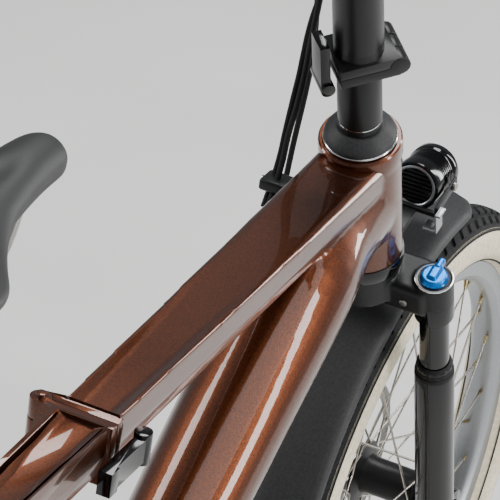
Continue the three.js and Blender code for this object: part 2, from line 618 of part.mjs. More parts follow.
// --------------------------------------------------------------- headlight
const LIGHT_AT = v3(119, 0, -165); // its tilt axis, from the headset ring
function lightBracket() {
  const plate = block(28, 90, -9, 9, -176, -170);
  const reach = LIGHT_RADIUS + 5;
  const yoke = block(86, 90, -reach, reach, LIGHT_AT.z - 7, LIGHT_AT.z + 7);
  const ears = [-1, 1].map((s) => block(86, LIGHT_AT.x + 8, s > 0 ? reach - 3.5 : -reach,
    s > 0 ? reach : 3.5 - reach, LIGHT_AT.z - 7, LIGHT_AT.z + 7));
  return join(plate, yoke, ...ears);
}

function headlight() {
  const body = rod(LIGHT_RADIUS, v3(-LIGHT_LENGTH / 2, 0, 0), v3(LIGHT_LENGTH / 2, 0, 0), 32);
  const pivots = rod(4, v3(0, -LIGHT_RADIUS - 1, 0), v3(0, LIGHT_RADIUS + 1, 0), 12);
  place(steering, 'headlight', join(body, pivots).rotateY(headTilt)
    .translate(LIGHT_AT.x, LIGHT_AT.y, LIGHT_AT.z), blackGloss);
}

// -------------------------------------------------------------- handlepost
// The hinge folds the post forward and to the right.
const foldTurn = rad(-45);
const POST_PIN_OUT = 27;

// Puts a hinge drawn about Z on the handlepost: X becomes up, Y the fold side.
function ontoPost(geometry) {
  const side = v3(Math.cos(foldTurn), Math.sin(foldTurn), 0);
  const axis = v3().crossVectors(v3(0, 0, 1), side);
  const basis = new THREE.Matrix4().makeBasis(v3(0, 0, 1), side, axis);
  basis.setPosition(side.x * POST_PIN_OUT, side.y * POST_PIN_OUT, POST_HINGE);
  return geometry.clone().applyMatrix4(basis);
}

function handlepost() {
  const width = 44;
  const lower = ontoPost(hingeWithPin(POST_PIN_OUT + 22, width));
  const upper = ontoPost(hingeHalf(1, POST_PIN_OUT + 22, width, 'middle'));
  const postBore = rod(STEERER + GAP, v3(0, 0, 0), v3(0, 0, 62), 24);
  const base = rod(POST_OUTER, v3(0, 0, COVER_TOP + GAP), v3(0, 0, POST_HINGE - 4), 24);
  const clearMiddle = ontoPost(rod(KNUCKLE + RUNNING, v3(0, 0, -width / 6 - RUNNING), v3(0, 0, width / 6 + RUNNING)));
  place(steering, 'handlepost_base', cut(join(cut(base, clearMiddle), lower), postBore), blackMatte);
  const outer = rod(POST_TUBE_OUTER, v3(0, 0, POST_HINGE + 4), v3(0, 0, POST_TUBE_TOP), 24);
  const inner = rod(INNER_POST + GAP, v3(0, 0, POST_HINGE + 14), v3(0, 0, POST_TUBE_TOP + 5), 24);
  const clearOuter = [-1, 1].map((s) => ontoPost(rod(KNUCKLE + RUNNING,
    v3(0, 0, s * (width / 6 - RUNNING)), v3(0, 0, s * (width / 2 + 9)))));
  const clamp = cut(
    join(
      rod(POST_TUBE_OUTER + 4, v3(0, 0, POST_TUBE_TOP - 2), v3(0, 0, POST_TUBE_TOP + 18), 24),
      block(-34, -14, -7, 7, POST_TUBE_TOP - 2, POST_TUBE_TOP + 18),
    ),
    rod(INNER_POST + GAP, v3(0, 0, 200), v3(0, 0, 300), 24),
    block(-40, -12, -1.5, 1.5, 200, 300),
  );
  const tubeAndHinge = cut(join(cut(outer, ...clearOuter), upper), inner);
  place(steering, 'handlepost_outer', join(tubeAndHinge, clamp), blackMatte);
  const lever = join(rod(5, v3(0, 7 + GAP, 0), v3(0, 15, 0), 12), block(-5, 5, 10, 15, -52, 0));
  place(steering, 'handlepost_clamp_lever', lever.translate(-29, 0, POST_TUBE_TOP + 9), blackGloss);

  const post = tube(INNER_POST, INNER_POST - 2.5, v3(0, 0, INNER_POST_BOTTOM), v3(0, 0, BAR_HEIGHT - 12), 24);
  const barClamp = rod(BAR_CENTRE + 7, v3(0, -24, BAR_HEIGHT), v3(0, 24, BAR_HEIGHT), 28);
  const barHole = rod(BAR_CENTRE + GAP, v3(0, -30, BAR_HEIGHT), v3(0, 30, BAR_HEIGHT), 28);
  place(steering, 'handlepost_inner', cut(join(post, barClamp), barHole), blackMatte);
  const latchArm = join(
    rod(6, v3(0, 0, -14), v3(0, 0, 14), 16),
    block(-4, 44, -5, 3, -11, 11),
  );
  place(steering, 'handlepost_latch', ontoPost(latchArm.translate(-16, -POST_PIN_OUT - 30, 0)), blackGloss);
}

// -------------------------------------------------------------- handlebar
const BRACKET_Y = 118;
function handlebar() {
  const z = BAR_HEIGHT;
  const sweep = (y) => v3(-14 * (Math.max(Math.abs(y) - 60, 0) / 235) ** 1.2, y, z);
  const points = Array.from({ length: 13 }, (_, i) => sweep(lerp(-BAR_HALF, BAR_HALF, i / 12)));
  const barWith = (radius) => bent(radius, points, 12, 10);
  const sleeve = rod(BAR_CENTRE, v3(0, -32, z), v3(0, 32, z), 28);
  place(steering, 'handlebar', join(barWith(BAR_RADIUS), sleeve), blackMatte);
  const barGrown = barWith(BAR_RADIUS + GAP);
  const onBar = (radius, y0, y1) => cut(rod(radius, sweep(y0), sweep(y1), 14), barGrown);
  for (const [side, name] of [[1, 'left'], [-1, 'right']]) {
    const end = BAR_HALF - 2;
    place(steering, `grip_${name}`, onBar(GRIP_RADIUS, side * (end - GRIP_LENGTH), side * end), rubber);
    const at = sweep(side * BRACKET_Y);
    const collar = cut(rod(GRIP_RADIUS, sweep(side * (BRACKET_Y - 7)), sweep(side * (BRACKET_Y + 7)), 12), barGrown);
    const arm = block(at.x + 14, at.x + 38, at.y - 7, at.y + 7, z - 9, z + 9);
    const tank = rod(7, v3(at.x + 24, at.y - side * 30, z), v3(at.x + 24, at.y, z), 8);
    const pivot = v3(at.x + 34, at.y + side * 8, z);
    const fork = block(at.x + 26, at.x + 42, Math.min(at.y, pivot.y) - (side < 0 ? 7 : 0),
      Math.max(at.y, pivot.y) + (side > 0 ? 7 : 0), z - 9, z + 9);
    const mouth = block(at.x + 20, at.x + 60, Math.min(at.y + side * 2, at.y + side * 40),
      Math.max(at.y + side * 2, at.y + side * 40), z - 4.5, z + 4.5);
    place(steering, `brake_bracket_${name}`, cut(join(collar, arm, tank, fork), mouth, barGrown), blackMatte);
    const blade = bent(4, [pivot, v3(pivot.x + 14, pivot.y + side * 30, z), v3(pivot.x + 18, pivot.y + side * 75, z),
      v3(pivot.x + 8, pivot.y + side * 118, z)], 8, 6);
    place(steering, `brake_lever_${name}`, join(blade, rod(5, v3(pivot.x, pivot.y, z - 4), v3(pivot.x, pivot.y, z + 4), 10)), blackGloss);
  }
  const shiftEnd = BAR_HALF - 2 - GRIP_LENGTH - 1;
  const shifterBody = rod(GRIP_RADIUS + 2, sweep(-shiftEnd + SHIFTER_LENGTH), sweep(-shiftEnd), 14);
  const shifterBore = bore(BAR_RADIUS + RUNNING, sweep(-shiftEnd + SHIFTER_LENGTH + 1), sweep(-shiftEnd - 1));
  place(steering, 'twist_shifter', cut(shifterBody, shifterBore), blackMatte);
}

// --------------------------------------------------------------------- seat
function seatParts() {
  place(seat, 'seatpost', join(
    tube(SEATPOST, SEATPOST - SEATPOST_WALL, v3(0, 0, SEATPOST_BOTTOM), v3(0, 0, SEATPOST_TOP), 28),
    block(-22, 22, -24, 24, SEATPOST_TOP - 8, SEATPOST_TOP),
  ), blackMatte);
  const top = SEAT_TUBE_TOP;
  const lever = join(rod(6, v3(0, 9 + GAP, 0), v3(0, 34, 0), 12), block(-6, 50, 28, 34, -6, 6));
  place(seat, 'seat_clamp_lever', lever.translate(-SEAT_TUBE - 13, 0, top - 12), blackGloss);
}

const saddleGroup = new THREE.Group();
saddleGroup.position.copy(bracket)
  .add(v3(-Math.sin(seatTilt), 0, Math.cos(seatTilt)).multiplyScalar(SEATPOST_TOP));
frame.add(saddleGroup);

// Half width of the saddle at a place along its length, from tail to nose.
const SADDLE = [
  { x: -128, half: 40, top: 62 }, { x: -122, half: 66, top: 67 }, { x: -95, half: 80, top: 68 },
  { x: -60, half: 78, top: 65 }, { x: -20, half: 55, top: 62 }, { x: 30, half: 32, top: 61 },
  { x: 90, half: 23, top: 61 }, { x: 130, half: 19, top: 58 }, { x: 138, half: 10, top: 53 },
];

function saddle() {
  const outline = circle(1, 12);
  const stations = SADDLE.map(({ x, half, top }) => (p) => {
    const thick = p.y > 0 ? 14 : 26;
    return v3(x, p.x * half, top - 14 + thick * p.y * (p.y > 0 ? 1 : 0.55 + 0.45 * p.x ** 2));
  });
  const y = 22;
  const rails = bent(3.5, [v3(-98, -y, 48), v3(-62, -y, 14), v3(-30, -y, 12), v3(34, -y, 12), v3(88, -10, 40),
    v3(98, 0, 46), v3(88, 10, 40), v3(34, y, 12), v3(-30, y, 12), v3(-62, y, 14), v3(-98, y, 48)], 24, 6);
  place(saddleGroup, 'saddle', join(loft(outline, stations), rails), leather);
}

// -------------------------------------------------------------------- drive
// The outline round two pulleys, one at the crank and one at the rear axle.
function beltOutline(front, rear) {
  const span = Math.hypot(rearAxle.x, rearAxle.z - bracket.z);
  const lie = Math.atan2(rearAxle.z - bracket.z, rearAxle.x);
  const lean = Math.acos((front - rear) / span);
  const arc = (centre, radius, from, to, steps) => Array.from({ length: steps + 1 }, (_, i) => {
    const turn = lerp(from, to, i / steps);
    return v2(centre.x + radius * Math.cos(turn), centre.z - BRACKET_HEIGHT + radius * Math.sin(turn));
  });
  return [
    ...arc(bracket, front, lie + lean, lie + 2 * Math.PI - lean, 28),
    ...arc(rearAxle, rear, lie - lean, lie + lean, 14),
  ];
}

function drive() {
  const shape = new THREE.Shape(beltOutline(RING_PITCH + BELT_THICK, COG_PITCH + BELT_THICK));
  shape.holes.push(new THREE.Path(beltOutline(RING_PITCH + RUNNING, COG_PITCH + RUNNING)));
  const belt = new THREE.ExtrudeGeometry(shape, { depth: BELT_WIDTH, bevelEnabled: false });
  place(frame, 'drive_belt', belt.rotateX(Math.PI / 2)
    .translate(0, -BELT_Y + BELT_WIDTH / 2, BRACKET_HEIGHT), rubber);

  const crank = new THREE.Group();
  crank.position.copy(bracket);
  frame.add(crank);
  const ringDisc = cut(
    rod(RING_PITCH, v3(0, -BELT_Y - 3, 0), v3(0, -BELT_Y + 3, 0), 40),
    bore(21.7 + GAP, v3(0, -60, 0), v3(0, 0, 0)),
    ...[0, 1, 2, 3, 4].map((k) => {
      const turn = (k * 2 * Math.PI) / 5;
      const at = v3(48 * Math.cos(turn), 0, 48 * Math.sin(turn));
      return rod(15, at.clone().setY(-60), at.clone().setY(0), 8);
    }),
  );
  place(crank, 'bottom_bracket_bearings', turned([
    [SPINDLE + RUNNING, -30], [SHELL_RADIUS - 5 - GAP, -30],
    [SHELL_RADIUS - 5 - GAP, 30], [SPINDLE + RUNNING, 30],
  ], 24), steel);
  place(crank, 'chainring', ringDisc, blackMatte);
  for (const [side, name] of [[1, 'left'], [-1, 'right']]) {
    const [near, far] = [side * CRANK_Y, side * (CRANK_Y + CRANK_THICK)];
    const arm = join(
      rod(21.7, v3(0, side * 40, 0), v3(0, far, 0), 16),
      loft([v2(-1, -1), v2(1, -1), v2(1, 1), v2(-1, 1)], [[10, 15], [CRANK, 10]].map(([r, half]) =>
        (p) => v3(side * r, (near + far) / 2 + p.x * CRANK_THICK / 2, p.y * half))),
      rod(13, v3(side * CRANK, near, 0), v3(side * CRANK, far, 0), 20),
    );
    const hole = rod(SPINDLE + GAP, v3(0, -80, 0), v3(0, 80, 0), 16);
    const spindle = rod(SPINDLE, v3(0, -70, 0), v3(0, 74, 0), 16);
    place(crank, `crank_arm_${name}`, side > 0 ? cut(arm, hole) : join(arm, spindle), blackGloss);
    pedal(crank, side, name, far);
  }

  const cog = join(
    rod(COG_PITCH, v3(0, -BELT_Y - 3, 0), v3(0, -BELT_Y + 3, 0), 32),
    rod(16, v3(0, -REAR_HUB.half - RUNNING, 0), v3(0, -BELT_Y, 0), 24),
  );
  const cogBore = rod(AXLE_RADIUS + 2, v3(0, -90, 0), v3(0, 0, 0), 16);
  place(rearWheel, 'rear_sprocket', cut(cog, cogBore), steel);
}

// A pedal that folds up against the crank, about an axis along X.
function pedal(parent, side, name, from) {
  const at = (x, y, z) => v3(side * CRANK + x, side * y, z);
  const y = PEDAL_REACH;
  const start = Math.abs(from) + GAP;
  const core = join(
    rod(7, at(0, start, 0), at(0, y - 4, 0), 12),
    rod(6, at(-8, y, 0), at(8, y, 0), 10),
  );
  place(parent, `pedal_axle_${name}`, cut(core, rod(2.6, at(-9, y, 0), at(9, y, 0), 8)), steel);
  const box = (x0, x1, y0, y1, z0, z1) => block(side * CRANK + x0, side * CRANK + x1,
    Math.min(side * y0, side * y1), Math.max(side * y0, side * y1), z0, z1);
  const ears = [-1, 1].map((s) => join(
    rod(6, at(s * 8.5, y, 0), at(s * 20, y, 0), 10),
    box(s > 0 ? 8.5 : -20, s > 0 ? 20 : -8.5, y, y + 12, -5.5, 5.5),
  ));
  const body = box(-46, 46, y + 9, y + 88, -11, 11);
  const windows = [-1, 1].map((s) => box(s > 0 ? 12 : -38, s > 0 ? 38 : -12, y + 24, y + 76, -20, 20));
  const pin = rod(2.2, at(-18, y, 0), at(18, y, 0), 8);
  place(parent, `pedal_${name}`, join(cut(body, ...windows), ...ears, pin), blackMatte);
}

// ------------------------------------------------------------------- stand
const STAND_AT = v3(-30, 0, 192);
function centreStand() {
  const leg = (s) => [v3(0, s * 18, 0), v3(3, s * 30, -18), v3(9, s * 47, -100), v3(17, s * 92, 12 - STAND_AT.z)];
  const legs = [-1, 1].map((s) => bent(7, leg(s), 9, 8));
  const feet = [-1, 1].map((s) => rod(12, v3(18, s * 95, -STAND_AT.z), v3(18, s * 95, 14 - STAND_AT.z), 16));
  const yoke = rod(9, v3(0, -26, 0), v3(0, 26, 0), 20);
  place(frame, 'centre_stand', join(yoke, ...legs, ...feet).translate(STAND_AT.x, 0, STAND_AT.z), blackMatte);
}

function hoses() {
  for (const [name, points] of Object.entries(HOSES)) {
    const line = points.map(([x, y, z]) => v3(head.x + x, y, head.z + z));
    place(frame, name, bent(HOSE, line, 26, 8), rubber);
  }
}

frontFrame();
frameLatch();
rearFrame();
wheels();
steeringParts();
headlight();
handlepost();
handlebar();
seatParts();
saddle();
drive();
centreStand();
hoses();

// The origin is under the middle of the whole bicycle, on the ground.
bicycle.updateMatrixWorld(true);
const extent = new THREE.Box3().setFromObject(bicycle, true);
frame.position.set(-(extent.min.x + extent.max.x) / 2, -(extent.min.y + extent.max.y) / 2, -extent.min.z);

export default bicycle;
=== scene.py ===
# A folding bicycle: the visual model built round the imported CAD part.
import json
import math

import bmesh
import bpy
from mathutils import Matrix, Vector


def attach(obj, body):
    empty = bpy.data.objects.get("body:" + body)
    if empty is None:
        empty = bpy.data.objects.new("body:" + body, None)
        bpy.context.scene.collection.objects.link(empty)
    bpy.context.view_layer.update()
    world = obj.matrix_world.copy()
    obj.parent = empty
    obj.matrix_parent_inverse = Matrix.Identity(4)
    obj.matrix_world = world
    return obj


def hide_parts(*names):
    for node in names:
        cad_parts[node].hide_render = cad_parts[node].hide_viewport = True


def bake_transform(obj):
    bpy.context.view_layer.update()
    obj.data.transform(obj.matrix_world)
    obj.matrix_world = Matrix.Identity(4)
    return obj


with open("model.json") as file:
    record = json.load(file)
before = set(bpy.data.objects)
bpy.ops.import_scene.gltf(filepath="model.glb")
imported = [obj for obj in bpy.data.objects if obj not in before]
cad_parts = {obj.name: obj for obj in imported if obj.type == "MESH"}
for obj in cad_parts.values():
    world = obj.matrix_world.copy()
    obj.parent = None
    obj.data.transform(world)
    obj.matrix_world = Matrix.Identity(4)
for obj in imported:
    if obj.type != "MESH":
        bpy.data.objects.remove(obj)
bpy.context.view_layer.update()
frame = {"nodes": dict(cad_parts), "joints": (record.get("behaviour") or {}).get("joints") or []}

MM = 0.001
TOUCH = 1e-6  # metres: places nearer than this are one
SIDES = ((1, "left"), (-1, "right"))
JOINTS = {joint["name"]: joint for joint in frame["joints"]}


def joint_at(name):
    return Vector(JOINTS[name]["pos_m"])


# ------------------------------------------------------------------- places
HEAD = joint_at("steering_turn")
HEAD_LEAN = math.radians(20)
SEAT_LEAN = math.radians(18)
UP = Vector((-math.sin(HEAD_LEAN), 0, math.cos(HEAD_LEAN)))
AHEAD = Vector((math.cos(HEAD_LEAN), 0, math.sin(HEAD_LEAN)))
LEFT = Vector((0, 1, 0))
BRACKET = joint_at("crank_spin")
FRONT_AXLE = joint_at("front_wheel_spin")
REAR_AXLE = joint_at("rear_wheel_spin")
HINGE = joint_at("frame_fold")
SEAT_UP = Vector((-math.sin(SEAT_LEAN), 0, math.cos(SEAT_LEAN)))
SEAT_AHEAD = Vector((math.cos(SEAT_LEAN), 0, math.sin(SEAT_LEAN)))


def steer(x, y, z):
    """A place ahead, left and up along the steering axis, in mm from the headset ring."""
    return HEAD + AHEAD * x * MM + LEFT * y * MM + UP * z * MM


def from_head(x, y, z):
    """A place level ahead, left and up, in mm from the headset ring."""
    return HEAD + Vector((x, y, z)) * MM


def on_seat(x, y, z):
    """A place ahead, left and up along the seat tube, in mm from the bottom bracket."""
    return BRACKET + SEAT_AHEAD * x * MM + LEFT * y * MM + SEAT_UP * z * MM


# ------------------------------------------------------------------- camera
CAMERA_LENS = 324
CAMERA_RIGHT = Vector((0.435046, -0.891575, 0.125815))
CAMERA_UP = Vector((0.397044, 0.315369, 0.861916))
CAMERA_BACK = Vector((-0.808140, -0.325019, 0.491194))
CAMERA_FROM_HEAD = (-2968.16, -1114.71, 1666.56)


def set_camera():
    bpy.ops.object.camera_add()
    camera = bpy.context.object
    camera.name = "close_view"
    camera.data.sensor_width = 36
    camera.data.lens = CAMERA_LENS
    camera.data.clip_end = 50
    turn = Matrix((CAMERA_RIGHT, CAMERA_UP, CAMERA_BACK)).transposed().to_4x4()
    camera.matrix_world = Matrix.Translation(from_head(*CAMERA_FROM_HEAD)) @ turn
    bpy.context.scene.camera = camera


set_camera()


# ------------------------------------------------------------ mesh helpers
def clear():
    """Nothing is being edited and nothing is selected."""
    if bpy.context.object and bpy.context.object.mode != "OBJECT":
        bpy.ops.object.mode_set(mode="OBJECT")
    bpy.ops.object.select_all(action="DESELECT")


def pick(piece):
    clear()
    piece.select_set(True)
    bpy.context.view_layer.objects.active = piece


def named(name):
    """The object that an operator has just made, given its name."""
    piece = bpy.context.object
    piece.name = name
    piece.data.name = name
    return piece


def settle(piece):
    """The piece's place goes into its mesh."""
    pick(piece)
    bpy.ops.object.transform_apply(location=True, rotation=True, scale=True)
    return piece


def modify(piece, kind, **settings):
    """Adds a modifier and applies it."""
    pick(piece)
    change = piece.modifiers.new(kind.lower(), kind)
    for key, value in settings.items():
        setattr(change, key, value)
    bpy.ops.object.modifier_apply(modifier=change.name)
    return piece


def soften(piece, width, segments=3, angle=30):
    """Rounds the edges sharper than an angle in degrees, with the width in mm."""
    return modify(piece, "BEVEL", width=width * MM, segments=segments, limit_method="ANGLE",
                  angle_limit=math.radians(angle), harden_normals=False)


def shade(piece, angle=35):
    pick(piece)
    bpy.ops.object.shade_smooth_by_angle(angle=math.radians(angle))
    return piece


def turn_onto(axis):
    return Vector(axis).to_track_quat("Z", "Y").to_matrix().to_4x4()


def rod(name, start, end, radius, end_radius=None, sides=48):
    """A round bar between two places, with its radii in mm."""
    clear()
    span = end - start
    bpy.ops.mesh.primitive_cone_add(
        vertices=sides, radius1=radius * MM, radius2=(end_radius or radius) * MM, depth=span.length)
    piece = named(name)
    piece.matrix_world = Matrix.Translation((start + end) / 2) @ turn_onto(span)
    return settle(piece)


def slab(name, centre, size, axes=None, edge=1.0, segments=3):
    """A block with rounded edges, its size in mm along its own axes."""
    clear()
    bpy.ops.mesh.primitive_cube_add(size=1)
    piece = named(name)
    turn = Matrix(axes).transposed().to_4x4() if axes else Matrix.Identity(4)
    piece.matrix_world = Matrix.Translation(centre) @ turn
    piece.data.transform(Matrix.Diagonal((*[s * MM for s in size], 1)))
    return soften(settle(piece), edge, segments)


def spun(name, base, axis, outline, steps=72):
    """A closed outline of (radius, height) in mm, spun all the way about an axis through base."""
    clear()
    bpy.ops.mesh.primitive_circle_add(vertices=len(outline), radius=1)
    piece = named(name)
    for vertex, (radius, height) in zip(piece.data.vertices, outline):
        vertex.co = (radius * MM, 0, height * MM)
    bpy.ops.object.mode_set(mode="EDIT")
    bpy.ops.mesh.select_all(action="SELECT")
    bpy.ops.mesh.spin(steps=steps, angle=math.tau, center=(0, 0, 0), axis=(0, 0, 1))
    bpy.ops.mesh.select_all(action="SELECT")
    bpy.ops.mesh.remove_doubles(threshold=TOUCH)
    bpy.ops.mesh.dissolve_degenerate(threshold=TOUCH)
    bpy.ops.mesh.select_all(action="SELECT")
    bpy.ops.mesh.normals_make_consistent(inside=False)
    bpy.ops.object.mode_set(mode="OBJECT")
    piece.matrix_world = Matrix.Translation(base) @ turn_onto(axis)
    return settle(piece)


def through(points, per_span):
    """A smooth line through places, with a number of steps between each two."""
    line = []
    for i in range(len(points) - 1):
        a, b = points[max(i - 1, 0)], points[i]
        c, d = points[i + 1], points[min(i + 2, len(points) - 1)]
        for s in range(per_span):
            t = s / per_span
            line.append(0.5 * ((2 * b) + (c - a) * t + (2 * a - 5 * b + 4 * c - d) * t * t
                               + (3 * b - a - 3 * c + d) * t ** 3))
    return line + [points[-1]]


def swept(name, line, radius, resolution=6):
    """A round section drawn along a line, with its radius in mm."""
    clear()
    curve = bpy.data.curves.new(name, "CURVE")
    curve.dimensions = "3D"
    curve.bevel_depth = radius * MM
    curve.bevel_resolution = resolution
    curve.use_fill_caps = True
    path = curve.splines.new("POLY")
    path.points.add(len(line) - 1)
    for point, place in zip(path.points, line):
        point.co = (*place, 1)
    piece = bpy.data.objects.new(name, curve)
    bpy.context.scene.collection.objects.link(piece)
    pick(piece)
    bpy.ops.object.convert(target="MESH")
    piece = named(name)
    bpy.ops.object.mode_set(mode="EDIT")
    bpy.ops.mesh.select_all(action="SELECT")
    bpy.ops.mesh.remove_doubles(threshold=TOUCH)
    bpy.ops.mesh.normals_make_consistent(inside=False)
    bpy.ops.object.mode_set(mode="OBJECT")
    return piece


def from_faces(name, faces):
    """An object of the faces laid out so far, all turned outwards."""
    bmesh.ops.recalc_face_normals(faces, faces=faces.faces)
    data = bpy.data.meshes.new(name)
    faces.to_mesh(data)
    faces.free()
    piece = bpy.data.objects.new(name, data)
    bpy.context.scene.collection.objects.link(piece)
    return piece


def skinned(name, rings):
    """A closed shell over rings of places, because its section changes along its length."""
    shell = bmesh.new()
    loops = [[shell.verts.new(place) for place in ring] for ring in rings]
    count = len(rings[0])
    for near, far in zip(loops, loops[1:]):
        for i in range(count):
            shell.faces.new((near[i], near[(i + 1) % count], far[(i + 1) % count], far[i]))
    shell.faces.new(list(reversed(loops[0])))
    shell.faces.new(loops[-1])
    return from_faces(name, shell)


def merged(name, *parts):
    """Several parts in one object."""
    clear()
    for part in parts:
        part.select_set(True)
    bpy.context.view_layer.objects.active = parts[0]
    bpy.ops.object.join()
    return named(name)


def drilled(piece, tool):
    """Takes the tool's shape out of the piece."""
    modify(piece, "BOOLEAN", object=tool, operation="DIFFERENCE", solver="EXACT")
    bpy.data.objects.remove(tool)
    return piece


def welded(name, voxel, *parts, rounds):
    """Overlapping shells grown together into one skin, on a grid in mm, then smoothed."""
    piece = merged(name, *parts)
    modify(piece, "REMESH", mode="VOXEL", voxel_size=voxel * MM, use_smooth_shade=True)
    return modify(piece, "SMOOTH", factor=0.5, iterations=rounds)


def copied(name, node):
    """A merged copy of a CAD node, to be rounded."""
    source = frame["nodes"][node]
    piece = bpy.data.objects.new(name, source.data.copy())
    bpy.context.scene.collection.objects.link(piece)
    piece.data.materials.clear()
    pick(piece)
    bpy.ops.object.mode_set(mode="EDIT")
    bpy.ops.mesh.select_all(action="SELECT")
    bpy.ops.mesh.remove_doubles(threshold=TOUCH)
    bpy.ops.mesh.dissolve_limited(angle_limit=math.radians(0.5))
    bpy.ops.mesh.normals_make_consistent(inside=False)
    bpy.ops.object.mode_set(mode="OBJECT")
    return piece


def kept(piece, place, normal):
    """What lies behind a plane, with the cut closed."""
    pick(piece)
    bpy.ops.object.mode_set(mode="EDIT")
    bpy.ops.mesh.select_all(action="SELECT")
    bpy.ops.mesh.bisect(plane_co=place, plane_no=normal, use_fill=True, clear_outer=True)
    bpy.ops.object.mode_set(mode="OBJECT")
    return piece


def fit(piece, body, material, slot, *nodes):
    """Gives a finished piece its body and its look, and hides the CAD nodes that it stands for."""
    piece.data.materials.clear()
    piece.data.materials.append(material)
    for face in piece.data.polygons:
        face.material_index = 0
    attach(piece, body)
    if nodes:
        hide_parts(*nodes)
    return piece


# --------------------------------------------------------------- materials
def linear(code):
    """An sRGB hex value as a linear colour."""
    channels = [int(code[i:i + 2], 16) / 255 for i in (1, 3, 5)]
    return [c / 12.92 if c <= 0.04045 else ((c + 0.055) / 1.055) ** 2.4 for c in channels] + [1.0]


def add(tree, kind, values=(), links=(), **settings):
    """Adds a node with its settings, its socket values and its links from other nodes."""
    node = tree.nodes.new(kind)
    for key, value in settings.items():
        setattr(node, key, value)
    for socket, value in dict(values).items():
        node.inputs[socket].default_value = value
    for socket, source in dict(links).items():
        tree.links.new(source, node.inputs[socket])
    return node


def surface(name, colour, **sockets):
    """A principled material of one colour, ready for its pattern."""
    material = bpy.data.materials.new(name)
    material.use_nodes = True
    tree = material.node_tree
    shader = tree.nodes["Principled BSDF"]
    shader.inputs["Base Color"].default_value = linear(colour)
    for socket, value in sockets.items():
        shader.inputs[socket.replace("_", " ")].default_value = value
    place = add(tree, "ShaderNodeTexCoord").outputs["Object"]
    return material, tree, shader, place


def tinted(tree, shader, factor, dark, light, low=0.35, high=0.65):
    """The colour runs from dark to light as the factor goes from low to high."""
    ramp = add(tree, "ShaderNodeValToRGB", links={"Fac": factor})
    ramp.color_ramp.elements[0].position = low
    ramp.color_ramp.elements[0].color = linear(dark)
    ramp.color_ramp.elements[1].position = high
    ramp.color_ramp.elements[1].color = linear(light)
    tree.links.new(ramp.outputs["Color"], shader.inputs["Base Color"])


def roughened(tree, shader, factor, low, high):
    """The roughness runs from low to high with the factor."""
    spread = add(tree, "ShaderNodeMapRange", {"To Min": low, "To Max": high}, {"Value": factor})
    tree.links.new(spread.outputs["Result"], shader.inputs["Roughness"])


def bumped(tree, shader, height, depth, strength):
    """Raises the surface by the height, up to a depth in mm."""
    bump = add(tree, "ShaderNodeBump", {"Distance": depth * MM, "Strength": strength},
               {"Height": height})
    tree.links.new(bump.outputs["Normal"], shader.inputs["Normal"])


def noise(tree, place, size, detail=3.0):
    """Noise whose marks are about size mm across."""
    return add(tree, "ShaderNodeTexNoise", {"Scale": 1 / (size * MM), "Detail": detail},
               {"Vector": place}).outputs["Fac"]


def copper_lacquer():
    # metallic flake under a thick clear coat: a dark brown that glints copper, with a wet gloss
    material, tree, shader, place = surface(
        "copper_flake_lacquer", "#42200F", Metallic=0.88, Roughness=0.32, Coat_Weight=0.75,
        Coat_Roughness=0.03)
    # real flakes are about 0.05 mm; these are drawn at 0.5 mm so that they show
    flakes = add(tree, "ShaderNodeTexVoronoi", {"Scale": 1 / (0.5 * MM)}, {"Vector": place})
    tinted(tree, shader, flakes.outputs["Color"], "#33180B", "#6A3518", 0.1, 0.95)
    roughened(tree, shader, noise(tree, place, 1.2), 0.3, 0.4)
    return material


def moulded(name, dark, light, rough, grain, depth):
    # a moulded, forged or blasted skin: an even colour with a fine sandy grain, its size in mm
    material, tree, shader, place = surface(name, dark, Roughness=rough, Specular_IOR_Level=0.3)
    tinted(tree, shader, noise(tree, place, grain * 6), dark, light)
    roughened(tree, shader, noise(tree, place, grain * 3), rough - 0.06, rough + 0.08)
    bumped(tree, shader, noise(tree, place, grain), depth, 0.5)
    return material


def gloss_black():
    # black lacquer over metal: deep and wet, with faint wipe marks
    material, tree, shader, place = surface(
        "gloss_black_lacquer", "#040405", Roughness=0.1, Coat_Weight=0.15, Coat_Roughness=0.03,
        Specular_IOR_Level=0.35)
    roughened(tree, shader, noise(tree, place, 6), 0.07, 0.16)
    return material


def bare_metal(name, dark, light, rough, grain):
    # machined or drawn metal: a mottle of light and dark, its grain in mm, that breaks up the reflections
    material, tree, shader, place = surface(name, dark, Metallic=1.0, Roughness=rough)
    streaks = noise(tree, place, grain, 5.0)
    tinted(tree, shader, streaks, dark, light)
    roughened(tree, shader, streaks, rough * 0.7, rough * 1.4)
    return material


def blue_anodised():
    # dyed anodised aluminium: a clear blue with a metal sheen
    material, tree, shader, place = surface(
        "blue_anodised_aluminium", "#0A6FC2", Metallic=0.75, Roughness=0.3)
    tinted(tree, shader, noise(tree, place, 0.8), "#0660B0", "#1884DC")
    roughened(tree, shader, noise(tree, place, 0.5), 0.24, 0.38)
    return material


def lens(name, colour, rough):
    # moulded acrylic, with no light let through: a hard wet shine over one colour
    material, tree, shader, place = surface(
        name, colour, Roughness=rough, Coat_Weight=0.8, Coat_Roughness=0.02)
    roughened(tree, shader, noise(tree, place, 3), rough * 0.8, rough * 1.3)
    return material


def saddle_leather():
    # embossed synthetic leather: small soft pebbles, 1.2 mm apart, with painted shade in the sunken creases
    # between them
    material, tree, shader, place = surface("saddle_leather", "#131313", Roughness=0.55)
    pebbles = add(
        tree, "ShaderNodeTexVoronoi", {"Scale": 1 / (1.2 * MM)}, {"Vector": place}, feature="F1")
    # painted shade: the colour darkens from the raised pebble tops into the sunken creases
    tinted(tree, shader, pebbles.outputs["Distance"], "#1C1C1C", "#0B0B0B", 0.1, 0.8)
    bumped(tree, shader, pebbles.outputs["Distance"], 0.15, -0.6)
    return material


